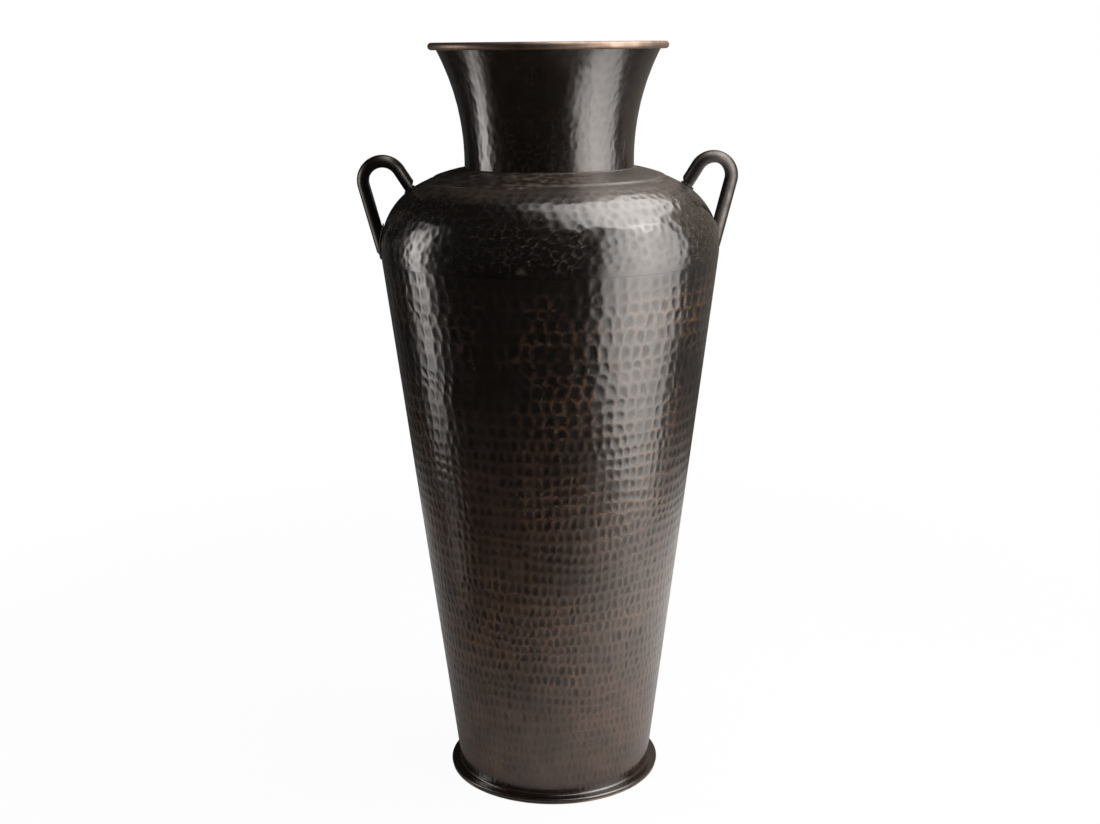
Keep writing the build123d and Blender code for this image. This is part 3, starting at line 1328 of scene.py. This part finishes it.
@dataclass
class ShoulderDome:
    """Hammered dome with a skirt that laps inside the side and a throat that takes the neck."""

    form: VesselForm
    finish: bpy.types.Material
    blows: HammerBlows = HammerBlows(
        spacing=(0.0076, 0.0112),
        row_height=(0.0074, 0.0096),
        half_width=0.0044,
        half_height=0.0044,
        depth=0.00034,
        scatter=(0.34, 0.10),
        ridge_width=0.2,
        seed=11,
    )
    seam_lap: float = 0.014
    joggle_length: float = 0.003
    columns: int = 600
    row_spacing: float = 0.0011
    fade_seam: float = 0.007
    fade_collar: float = 0.005
    angle_slack: float = 0.01

    def build(self) -> None:
        """Turns the dome, hammers it and dresses it."""
        form = self.form
        skirt_face = -form.wall - form.seam_clearance
        skirt_back = skirt_face - form.wall
        joggle_start = degrees(form.seam_clearance / form.corner_radius) - form.taper
        joggle_end = degrees(self.joggle_length / form.corner_radius) - form.taper
        corner = form.corner_turn - joggle_start
        crown = form.throat_turn - form.corner_turn
        corner_steps = round(radians(corner) * form.corner_radius / self.row_spacing)
        crown_steps = round(radians(crown) * form.crown_radius / self.row_spacing)
        inner_throat = form.throat_radius + form.wall
        section = Section("hammered_dome", form.side_point(skirt_face, self.seam_lap))
        section.to(form.side_point(skirt_face, 0), steps=2)
        section.to(polar(form.corner_centre, form.corner_radius + skirt_face, joggle_start))
        section.to(polar(form.corner_centre, form.corner_radius, joggle_start))
        section.round(form.corner_centre, corner, corner_steps)
        section.round(form.crown_centre, crown, crown_steps)
        section.round(form.throat_centre, 180 - form.throat_turn, steps=6)
        section.to((form.throat_radius, form.neck_foot), steps=2)
        section.to((inner_throat, form.neck_foot))
        section.to((inner_throat, form.throat_centre[1]), steps=2)
        section.round(form.throat_centre, form.throat_turn - 180, steps=4)
        section.round(form.crown_centre, -crown, steps=8)
        section.round(form.corner_centre, joggle_end - form.corner_turn, steps=14)
        section.to(form.side_point(skirt_back, 0))
        section.to(form.side_point(skirt_back, self.seam_lap), steps=2)
        section.to(form.side_point(skirt_face, self.seam_lap))
        dome = section.turned(self.columns)
        self.hammer(dome, joggle_start)
        seat(dome, self.finish, Slot.HAMMERED, "shoulder_dome")

    def hammer(self, dome: bpy.types.Object, joggle_start: float) -> None:
        """Hammers the outside from the seam up to the collar.

        Args:
            dome: The turned dome.
            joggle_start: Angle on the corner arc at which the outside starts.
        """
        form = self.form
        surface = Surface(dome)
        corner = np.column_stack((surface.radius, surface.height)) - form.corner_centre
        crown = np.column_stack((surface.radius, surface.height)) - form.crown_centre
        corner_angle = np.degrees(np.arctan2(corner[:, 1], corner[:, 0]))
        crown_angle = np.degrees(np.arctan2(crown[:, 1], crown[:, 0]))
        edge_angle = degrees(acos((form.collar_radius - form.crown_centre[0]) / form.crown_radius))
        on_corner = np.abs(np.hypot(*corner.T) - form.corner_radius) < ON_FACE
        on_corner &= (corner_angle > joggle_start - self.angle_slack) & (corner_angle <= form.corner_turn)
        on_crown = np.abs(np.hypot(*crown.T) - form.crown_radius) < ON_FACE
        on_crown &= (crown_angle > form.corner_turn) & (crown_angle < edge_angle)
        corner_length = radians(form.corner_turn - joggle_start) * form.corner_radius
        along = np.where(
            on_corner,
            np.radians(corner_angle - joggle_start) * form.corner_radius,
            corner_length + np.radians(crown_angle - form.corner_turn) * form.crown_radius,
        )
        chosen = np.flatnonzero(on_corner | on_crown)
        along = along[chosen]
        fade = np.clip(along / self.fade_seam, 0, 1)
        fade *= np.clip((along.max() - along) / self.fade_collar, 0, 1)
        self.blows.strike(dome, chosen, along, fade)


@dataclass
class NeckCollar:
    """Smooth spun ring on the dome round the neck."""

    form: VesselForm
    finish: bpy.types.Material
    seat_gap: float = 0.00003
    thickness: float = 0.0010
    edge_thickness: float = 0.0001
    step_start: float = 0.1062
    step_end: float = 0.1102
    step_drop: float = 0.00088
    lip_width: float = 0.0018
    lip_height: float = 0.0007
    groove_width: float = 0.0014
    groove_depth: float = 0.00007
    grooves: tuple[float, ...] = (0.0862, 0.0945)
    rows: int = 80
    seat_rows: int = 12
    columns: int = 400

    def build(self) -> None:
        """Turns the ring and dresses it."""
        form = self.form
        inner = form.throat_radius
        section = Section("spun_collar", form.crown_point(self.seat_gap, inner))
        for radius in np.linspace(inner, form.collar_radius, self.rows):
            section.to(form.crown_point(self.seat_gap + self.height(radius), float(radius)))
        for radius in np.linspace(form.collar_radius, inner, self.seat_rows):
            section.to(form.crown_point(self.seat_gap, float(radius)))
        collar = section.turned(self.columns)
        seat(collar, self.finish, Slot.SMOOTH, "neck_collar")

    def height(self, radius: float) -> float:
        """Height of the ring's upper face above its seat: a lip, spun lines and a rounded step.

        Args:
            radius: Distance from the vase's axis.

        Returns:
            The height there.
        """
        lip = max(0.0, 1 - ((radius - self.form.throat_radius) / self.lip_width) ** 2)
        down = np.clip((radius - self.step_start) / (self.step_end - self.step_start), 0, 1)
        rest = np.clip((radius - self.step_end) / (self.form.collar_radius - self.step_end), 0, 1)
        after_step = self.thickness - self.step_drop - self.edge_thickness
        lines = sum(max(0.0, 1 - abs(radius - groove) / self.groove_width * 2) for groove in self.grooves)
        height = self.thickness + self.lip_height * sqrt(lip) - self.groove_depth * lines
        return height - self.step_drop * (1 - cos(pi * down)) / 2 - after_step * rest


@dataclass
class FlaredNeck:
    """Smooth flared neck whose edge is rolled outwards into the copper rim."""

    form: VesselForm
    finish: bpy.types.Material
    rim_finish: bpy.types.Material
    straight: float = 0.0113
    rise: float = 0.1174
    flare: float = 0.0282
    wire_radius: float = 0.0021
    curl_gap: float = 0.0008
    columns: int = 520
    blows: HammerBlows = HammerBlows(
        spacing=(0.0056, 0.0068),
        row_height=(0.0062, 0.0072),
        half_width=0.0036,
        half_height=0.0046,
        depth=0.00019,
        scatter=(0.34, 0.34),
        ridge_width=0.3,
        seed=5,
    )
    fade_ends: float = 0.004
    fade_up: Point = (1.0, 0.6)

    @property
    def rim_radius(self) -> float:
        """Outer radius of the rolled edge."""
        return self.wire_radius + self.form.seam_clearance + self.form.wall

    @property
    def rim_centre(self) -> Point:
        """Centre of the rolled edge."""
        top = self.form.throat_centre[1] + self.rise
        return (self.form.neck_radius + self.flare, top - self.rim_radius)

    @property
    def flare_start(self) -> float:
        """Height at which the neck starts to flare."""
        return self.form.throat_centre[1] + self.straight

    @property
    def flare_rise(self) -> float:
        """Height of the flare."""
        return self.rim_centre[1] - self.flare_start

    @property
    def flare_turn(self) -> float:
        """Angle of the flare's arc."""
        return 2 * degrees(atan((self.flare - self.rim_radius + self.form.wall) / self.flare_rise))

    @property
    def flare_radius(self) -> float:
        """Radius of the flare's outer face."""
        return self.flare_rise / sin(radians(self.flare_turn)) + self.rim_radius - self.form.wall

    @property
    def flare_centre(self) -> Point:
        """Centre of the flare's arc, outside the neck."""
        return (self.form.neck_radius + self.flare_radius, self.flare_start)

    def build(self) -> None:
        """Makes the neck and its rim."""
        self.build_neck()
        self.build_rim()

    def build_neck(self) -> None:
        """Turns the neck's sheet, planishes it and dresses it."""
        form = self.form
        foot = (form.neck_radius, form.neck_foot)
        section = Section("flared_sheet", foot)
        section.to((form.neck_radius, self.flare_start), steps=12)
        section.round(self.flare_centre, -self.flare_turn, steps=84)
        section.to(polar(self.rim_centre, self.rim_radius, 180 - self.flare_turn))
        section.round(self.flare_centre, self.flare_turn, steps=30)
        section.to((form.neck_radius - form.wall, form.neck_foot), steps=4)
        section.to(foot)
        neck = section.turned(self.columns)
        self.planish(neck)
        seat(neck, self.finish, Slot.SMOOTH, "flared_neck")

    def planish(self, neck: bpy.types.Object) -> None:
        """Hammers the outside lightly from the collar up to the rim.

        Args:
            neck: The turned neck.
        """
        surface = Surface(neck)
        up = surface.height - self.flare_start
        curve = self.flare_centre[0] - np.sqrt(self.flare_radius**2 - np.clip(up, 0, None) ** 2)
        outside = np.abs(surface.radius - curve) < ON_FACE
        chosen = np.flatnonzero(outside & (surface.height > self.form.throat_centre[1]))
        along = surface.height[chosen]
        ends = (along.min(), along.max())
        fade = np.clip(np.minimum(along - ends[0], ends[1] - along) / self.fade_ends, 0, 1)
        fade *= np.interp(along, ends, self.fade_up)
        self.blows.strike(neck, chosen, along, fade)

    def build_rim(self) -> None:
        """Turns the rolled edge and dresses it."""
        start = 180 - self.flare_turn
        sheet_inside = self.rim_radius - self.form.wall
        gap = degrees(acos(sheet_inside / self.rim_radius) + self.curl_gap / self.rim_radius)
        turn = 360 - gap
        section = Section("rolled_rim", polar(self.rim_centre, sheet_inside, start))
        section.round(self.rim_centre, -turn, steps=20)
        section.to(polar(self.rim_centre, self.rim_radius, start - turn))
        section.round(self.rim_centre, turn, steps=30)
        section.to(polar(self.rim_centre, sheet_inside, start))
        rim = section.turned(self.columns)
        seat(rim, self.rim_finish, Slot.COPPER, "flared_neck")


@dataclass
class EarHandles:
    """Two handles of half-round bar, brazed to the shoulder and the side."""

    form: VesselForm
    finish: bpy.types.Material
    braze_finish: bpy.types.Material
    width: float = 0.016
    thickness: float = 0.0113
    side: float = 0.004
    edge_round: float = 0.0009
    stem: float = 0.021
    stem_steps: int = 10
    bend_radius: float = 0.0125
    bend_steps: int = 48
    leg_steps: int = 20
    landing_angle: float = 16.3
    tip_drop: float = 0.006
    tip_angle: float = 45.0
    foot_chamfer: float = 0.0055
    chamfer_turn: float = 135.0
    cut_round: float = 0.0005
    seat_gap: float = 0.00005
    ease: float = 0.00002
    braze_height: float = 0.0016
    braze_spread: float = 0.0018
    braze_grain: float = 0.00035
    braze_softening: float = 0.5
    braze_passes: int = 6

    def build(self) -> None:
        """Makes the right handle and its braze, and a mirrored copy of each for the left."""
        bar = self.build_bar()
        beads = self.build_braze()
        for made, name, finish, slot, node in (
            (bar, "ear_bar", self.finish, Slot.BAR, "handle"),
            (beads, "braze_beads", self.braze_finish, Slot.BRAZE, "handle_braze"),
        ):
            for piece, side in ((made, Side.RIGHT), (self.mirrored(made), Side.LEFT)):
                piece.name = f"{side.value}_{name}"
                piece.data.name = piece.name
                seat(piece, finish, slot, f"{side.value}_{node}")

    def build_bar(self) -> bpy.types.Object:
        """Makes the right handle, with its sharp cuts eased and its ends fitted to the vessel.

        Returns:
            The handle.
        """
        bar = self.bar("ear_bar", -self.ease)
        apply_modifier(
            bar,
            "BEVEL",
            width=self.cut_round,
            segments=2,
            limit_method="ANGLE",
            angle_limit=SMOOTH_ANGLE,
        )
        self.trim(bar, "DIFFERENCE", self.form.solid("trim", self.seat_gap))
        tidy_mesh(bar)
        return bar

    def build_braze(self) -> bpy.types.Object:
        """Makes the beads of braze round both ends of the right handle.

        Returns:
            The beads.
        """
        beads = self.bar("braze_beads", self.braze_spread)
        self.trim(beads, "INTERSECT", self.form.solid("trim", self.braze_height))
        self.trim(beads, "DIFFERENCE", self.form.solid("trim", self.seat_gap))
        self.trim(beads, "DIFFERENCE", self.bar("trim", self.seat_gap))
        apply_modifier(beads, "REMESH", mode="VOXEL", voxel_size=self.braze_grain)
        apply_modifier(beads, "SMOOTH", factor=self.braze_softening, iterations=self.braze_passes)
        tidy_mesh(beads)
        return beads

    @staticmethod
    def trim(piece: bpy.types.Object, operation: str, cutter: bpy.types.Object) -> None:
        """Cuts a piece by an operation with another piece, which is then removed."""
        apply_modifier(piece, "BOOLEAN", operation=operation, solver="EXACT", object=cutter)
        bpy.data.objects.remove(cutter)

    def bar(self, name: str, grow: float) -> bpy.types.Object:
        """Bar of the right handle before it is fitted to the vessel.

        Args:
            name: The name of the bar.
            grow: How far its outside is moved out.

        Returns:
            The bent bar with its foot and its tip cut.
        """
        form = self.form
        foot_angle = form.handle_foot_angle
        stem_top = shifted(form.handle_foot, foot_angle, self.stem)
        stem_length = self.thickness + self.stem
        middle_bend = self.bend_radius + self.thickness / 2
        loop_centre = shifted(stem_top, foot_angle - 90, middle_bend)
        landing = polar(form.corner_centre, form.corner_radius, self.landing_angle)
        leg_lean = tangent_lean(landing, loop_centre, self.bend_radius)
        leg_top = polar(loop_centre, middle_bend, -leg_lean)
        tip_height = form.widest_height - self.tip_drop
        leg_length = (leg_top[1] - tip_height) / cos(radians(leg_lean)) + self.thickness
        chain = self.bar_section(name, grow)
        chain.push(heading(foot_angle, stem_length / self.stem_steps), self.stem_steps)
        chain.arc(flat(loop_centre), Vector((0, 1, 0)), leg_lean + foot_angle + 90, self.bend_steps)
        chain.push(heading(-90 - leg_lean, leg_length / self.leg_steps), self.leg_steps)
        tip = (form.body_radius, tip_height)
        corner = shifted(form.handle_foot, foot_angle + 90, self.thickness / 2 - self.foot_chamfer)
        for place, facing in ((tip, self.tip_angle - 90), (corner, foot_angle + self.chamfer_turn)):
            bpy.ops.mesh.select_all(action="SELECT")
            bpy.ops.mesh.bisect(
                plane_co=flat(shifted(place, facing, grow)),
                plane_no=heading(facing),
                use_fill=True,
                clear_outer=True,
                threshold=WELD,
            )
        tidy_mesh(chain.piece)
        return chain.piece

    def bar_section(self, name: str, grow: float) -> Chain:
        """Half-round face that the bar is drawn from, square to the stem and below the shoulder.

        Args:
            name: The name of the bar.
            grow: How far its outside is moved out.

        Returns:
            The chain, with its filled face selected.
        """
        form = self.form
        root = flat(shifted(form.handle_foot, form.handle_foot_angle, -self.thickness))
        stem = heading(form.handle_foot_angle)
        outwards = heading(form.handle_foot_angle + 90)
        half = self.width / 2 + grow
        inner = -self.thickness / 2 - grow
        shoulder = self.side - self.thickness / 2
        crest = self.thickness / 2 + grow
        crest_radius = (half**2 + (crest - shoulder) ** 2) / (2 * (crest - shoulder))
        crest_start = degrees(asin((shoulder - crest + crest_radius) / crest_radius))
        edge = self.edge_round

        def place(across: float, out: float) -> Vector:
            """Place in the section's own plane."""
            return root + Vector((0, across, 0)) + outwards * out

        chain = Chain(name, place(half, inner + edge))
        chain.line(place(half, shoulder), steps=2)
        chain.arc(place(0, crest - crest_radius), stem, 180 - 2 * crest_start, steps=28)
        chain.line(place(-half, inner + edge), steps=2)
        chain.arc(place(edge - half, inner + edge), stem, 90, steps=4)
        chain.line(place(half - edge, inner), steps=6)
        chain.arc(place(half - edge, inner + edge), stem, 90, steps=4)
        chain.fill()
        return chain

    @staticmethod
    def mirrored(piece: bpy.types.Object) -> bpy.types.Object:
        """Copies a piece, with its own mesh, to the other side of the vase.

        Args:
            piece: The piece on the right.

        Returns:
            The copy on the left.
        """
        take_up(piece)
        bpy.ops.object.duplicate(linked=False)
        copy = bpy.context.active_object
        bpy.ops.object.mode_set(mode="EDIT")
        bpy.ops.mesh.select_all(action="SELECT")
        bpy.ops.transform.resize(value=(-1, 1, 1), center_override=(0, 0, 0))
        bpy.ops.object.mode_set(mode="OBJECT")
        tidy_mesh(copy)
        return copy


@dataclass(frozen=True)
class Softbox:
    """Panel of soft light whose face grows dimmer towards its edges.

    Sides and ends hold the levels at two opposite edges, and fades the share of the panel that dims.
    """

    name: str
    place: Point3
    facing: Point3
    width: float
    height: float
    brightness: float
    colour: Point3 = (1, 1, 1)
    lean: float = 0.0
    sides: Point = (1.0, 1.0)
    side_fades: Point = (0.4, 0.4)
    ends: Point = (1.0, 1.0)
    end_fades: Point = (0.4, 0.4)

    def build(self) -> None:
        """Hangs the panel. Its brightness is that of its own face, where 1 shows as white."""
        turn = Vector(self.facing).to_track_quat("-Z", "Y").to_matrix().to_4x4()
        turn = (turn @ Matrix.Rotation(radians(self.lean), 4, "Z")).to_euler()
        clear_selection()
        bpy.ops.object.light_add(type="AREA", location=self.place, rotation=turn)
        lamp = bpy.context.active_object
        lamp.name = self.name
        lamp.visible_camera = False
        lamp.data.color = self.colour
        lamp.data.shape = "RECTANGLE"
        lamp.data.size = self.width
        lamp.data.size_y = self.height
        lamp.data.energy = self.brightness * pi * self.width * self.height
        self.dim_edges(lamp.data)

    def dim_edges(self, light: bpy.types.Light) -> None:
        """Dims the panel's face from its middle to the level given for each edge.

        Args:
            light: The light of the panel.
        """
        nodes = emptied(light)
        across, along, _ = nodes.parts(nodes.add("NewGeometry").outputs["Parametric"])
        axes = ((across, self.sides, self.side_fades), (along, self.ends, self.end_fades))
        levels = []
        for place, edges, fades in axes:
            levels.append(nodes.ramp(place, (0.0, fades[0]), (edges[0], 1.0)))
            levels.append(nodes.ramp(place, (1.0 - fades[1], 1.0), (1.0, edges[1])))
        glow = nodes.add("Emission", {"Strength": nodes.product(*levels)})
        nodes.add("OutputLight", {"Surface": glow.outputs[0]})


@dataclass
class Studio:
    """Pale floor, soft light and the camera."""

    camera_distance: float = 1.4395
    camera_height: float = 0.7091
    camera_side: float = 5.0
    camera_yaw: float = 0.0525
    camera_pitch: float = 13.55
    camera_roll: float = -0.5
    lens: float = 50.0
    sensor: float = 36.0
    floor_size: float = 60.0
    floor_colour: Colour = (0.8, 0.8, 0.8, 1)
    floor_centre: Point3 = (0, 0.2, 0)
    floor_edge: Point = (0.58, 1.0)
    floor_far: float = 0.16
    floor_side: Point3 = (0.8, 0.6, 0)
    floor_fade: Fade = Fade((-0.4, 0.4), (0.04, 0.84))
    pool_centre: Point3 = (-0.62, 0.03, 0)
    pool_stretch: Point3 = (1, 2.4, 1)
    pool_fade: Fade = Fade((0.02, 0.3), (0.5, 0.0))
    shadow_share: float = 0.045
    room_light: float = 0.45
    room_dark: float = 0.008
    softboxes: tuple[Softbox, ...] = (
        Softbox(
            "left_strip",
            place=(-0.748, 0.08, 0.515),
            facing=(0.99, -0.12, 0),
            width=0.23,
            height=0.93,
            brightness=3.2,
            sides=(0.3, 0.3),
            side_fades=(0.48, 0.48),
            ends=(0.16, 0.05),
            end_fades=(0.5, 0.3),
        ),
        Softbox(
            "right_panel",
            place=(0.601, -0.407, 0.6),
            facing=(-0.929, 0.371, 0),
            width=0.82,
            height=1.2,
            brightness=2.8,
            lean=-8.0,
            sides=(0.5, 0.5),
            side_fades=(0.5, 0.5),
            ends=(0.55, 0.3),
            end_fades=(0.5, 0.2),
        ),
        Softbox(
            "overhead_panel",
            place=(0.62, -0.1, 1.62),
            facing=(-0.25, -0.09, -1),
            width=1.4,
            height=1.5,
            brightness=3.2,
            ends=(0.55, 0.2),
            end_fades=(0.25, 0.45),
        ),
        Softbox(
            "back_panel",
            place=(1.05, 1.15, 0.95),
            facing=(-0.7, -0.72, -0.1),
            width=2.1,
            height=1.9,
            brightness=0.33,
            colour=(1, 0.85, 0.73),
            ends=(0.22, 1.0),
            end_fades=(0.9, 0.9),
        ),
    )

    def build(self) -> None:
        """Sets up the whole stage."""
        self.build_floor()
        self.build_room()
        self.build_camera()
        for softbox in self.softboxes:
            softbox.build()
        bpy.context.scene.view_settings.view_transform = "Standard"

    def build_floor(self) -> None:
        """Lays a floor that is white to the camera and keeps a soft shadow.

        Gloss sees it near the vase, brighter on one side and in a pool below the left light.
        """
        clear_selection()
        bpy.ops.mesh.primitive_circle_add(vertices=64, radius=self.floor_size / 2, fill_type="NGON")
        floor = bpy.context.active_object
        floor.name = "floor"
        material = bpy.data.materials.new("pale_floor")
        nodes = emptied(material)
        rays = nodes.add("LightPath").outputs
        place = nodes.place()
        away = nodes.measure("LENGTH", nodes.vector("SUBTRACT", place, self.floor_centre))
        near = nodes.ramp(away, self.floor_edge, (1.0, 0.0))
        bright = nodes.fade(nodes.measure("DOT_PRODUCT", place, self.floor_side), self.floor_fade)
        offset = nodes.vector("SUBTRACT", place, self.pool_centre)
        offset = nodes.vector("MULTIPLY", offset, self.pool_stretch)
        pool = nodes.fade(nodes.measure("LENGTH", offset), self.pool_fade)
        bright = nodes.math("MAXIMUM", bright, pool)
        lit = nodes.product(nodes.math("MAXIMUM", near, self.floor_far), bright)
        shine = nodes.math("MAXIMUM", rays["Is Glossy Ray"], rays["Is Transmission Ray"])
        hidden = nodes.product(shine, nodes.math("SUBTRACT", 1.0, lit))
        seen = nodes.ramp(near, FULL_RANGE, (1.0, 1.0 - self.shadow_share))
        seen = nodes.product(seen, rays["Is Camera Ray"])
        matt = nodes.add("BsdfDiffuse", {"Color": self.floor_colour})
        dark = nodes.add("Emission", {"Color": BLACK, "Strength": 0.0})
        white = nodes.add("Emission", {"Color": WHITE, "Strength": 1.0})
        ground = nodes.add("MixShader", {0: hidden, 1: matt.outputs[0], 2: dark.outputs[0]})
        both = nodes.add("MixShader", {0: seen, 1: ground.outputs[0], 2: white.outputs[0]})
        nodes.add("OutputMaterial", {"Surface": both.outputs[0]})
        dress(floor, material)

    def build_room(self) -> None:
        """Makes the room white to the camera, dim to gloss and a soft fill to the rest."""
        world = bpy.data.worlds.new("studio_room")
        bpy.context.scene.world = world
        nodes = emptied(world)
        rays = nodes.add("LightPath").outputs
        light = nodes.product(rays["Is Diffuse Ray"], self.room_light)
        light = nodes.math("MAXIMUM", light, nodes.product(rays["Is Glossy Ray"], self.room_dark))
        light = nodes.math("MAXIMUM", light, rays["Is Camera Ray"])
        room = nodes.add("Background", {"Color": WHITE, "Strength": light})
        nodes.add("OutputWorld", {"Surface": room.outputs[0]})

    def build_camera(self) -> None:
        """Stands the camera a little to the left of the front, above the shoulder and tipped down."""
        side = radians(self.camera_side)
        away = self.camera_distance
        turn = Matrix.Rotation(radians(self.camera_yaw) - side, 4, "Z")
        turn @= Matrix.Rotation(radians(90 - self.camera_pitch), 4, "X")
        turn @= Matrix.Rotation(radians(self.camera_roll), 4, "Z")
        clear_selection()
        bpy.ops.object.camera_add(
            location=(-away * sin(side), -away * cos(side), self.camera_height),
            rotation=turn.to_euler(),
        )
        camera = bpy.context.active_object
        camera.data.lens = self.lens
        camera.data.sensor_width = self.sensor
        bpy.context.scene.camera = camera


def vase_finishes() -> dict[str, bpy.types.Material]:
    """Makes every finish of the vase.

    Returns:
        The materials, by a word for each.
    """
    finishes = {
        "hammered": Patina(Slot.HAMMERED.value, Marks.ROWS, wear=0.85, streaks=(1, 1, 0.3)),
        "beaten": Patina(
            "beaten_patina",
            Marks.BLOWS,
            wear=1.0,
            streaks=(1, 1, 1),
            dark=(0.0045, 0.0030, 0.0021, 1),
            brown=(0.070, 0.044, 0.031, 1),
            copper=(0.135, 0.094, 0.068, 1),
            crown=0.8,
            metal=(0.05, 0.3),
        ),
        "planished": Patina(
            Slot.SMOOTH.value,
            Marks.BLOWS,
            wear=0.6,
            streaks=(1, 1, 0.3),
            dark=(0.004, 0.0026, 0.0018, 1),
            copper=(0.095, 0.056, 0.037, 1),
            rubbed=0.12,
            grain_height=0.00007,
            metal=(0.05, 0.15),
            ior=2.25,
        ),
        "spun": Patina(
            "spun_patina",
            Marks.NONE,
            wear=2.5,
            streaks=(4, 4, 4),
            dark=(0.012, 0.0076, 0.0054, 1),
            copper=(0.125, 0.078, 0.052, 1),
            smooth=0.34,
            dull=0.48,
            coat=(0.15, 0.15),
        ),
        "copper": RubbedMetal(
            Slot.COPPER.value,
            clean=(0.60, 0.430, 0.335, 1),
            tarnish=(0.25, 0.165, 0.12, 1),
            metallic=0.98,
            smooth=0.40,
            dull=0.52,
            smear_scale=34.0,
        ),
        "black": RubbedMetal(
            Slot.BAR.value,
            clean=(0.19, 0.170, 0.154, 1),
            tarnish=(0.112, 0.098, 0.088, 1),
            metallic=1.0,
            smooth=0.34,
            dull=0.42,
            smear_scale=90.0,
            grain_height=0.00001,
        ),
        # Braze darker than the bar: partly blackened metal, partly painted shade where the handle ends
        # meet the vessel
        "braze": RubbedMetal(
            Slot.BRAZE.value,
            clean=(0.11, 0.098, 0.088, 1),
            tarnish=(0.035, 0.03, 0.027, 1),
            metallic=0.7,
            smooth=0.34,
            dull=0.5,
            smear_scale=220.0,
        ),
        "steel": RubbedMetal(
            Slot.WIRE.value,
            clean=(0.45, 0.44, 0.43, 1),
            tarnish=(0.16, 0.12, 0.10, 1),
            metallic=1.0,
            smooth=0.3,
            dull=0.5,
        ),
    }
    effects = SharedEffects()
    return {name: finish.material(effects) for name, finish in finishes.items()}


def main() -> None:
    """Builds the stage and every piece of the vase."""
    logging.basicConfig(level=logging.INFO, format="%(message)s")
    Studio().build()
    finish = vase_finishes()
    dress(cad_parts["rim_wire"], finish["steel"])
    form = VesselForm()
    for assembly in (
        BaseDisc(form, finish["copper"]),
        TaperedBody(form, finish["hammered"]),
        ShoulderDome(form, finish["beaten"]),
        NeckCollar(form, finish["spun"]),
        FlaredNeck(form, finish["planished"], finish["copper"]),
        EarHandles(form, finish["black"], finish["braze"]),
    ):
        assembly.build()


if __name__ == "__main__":
    main()
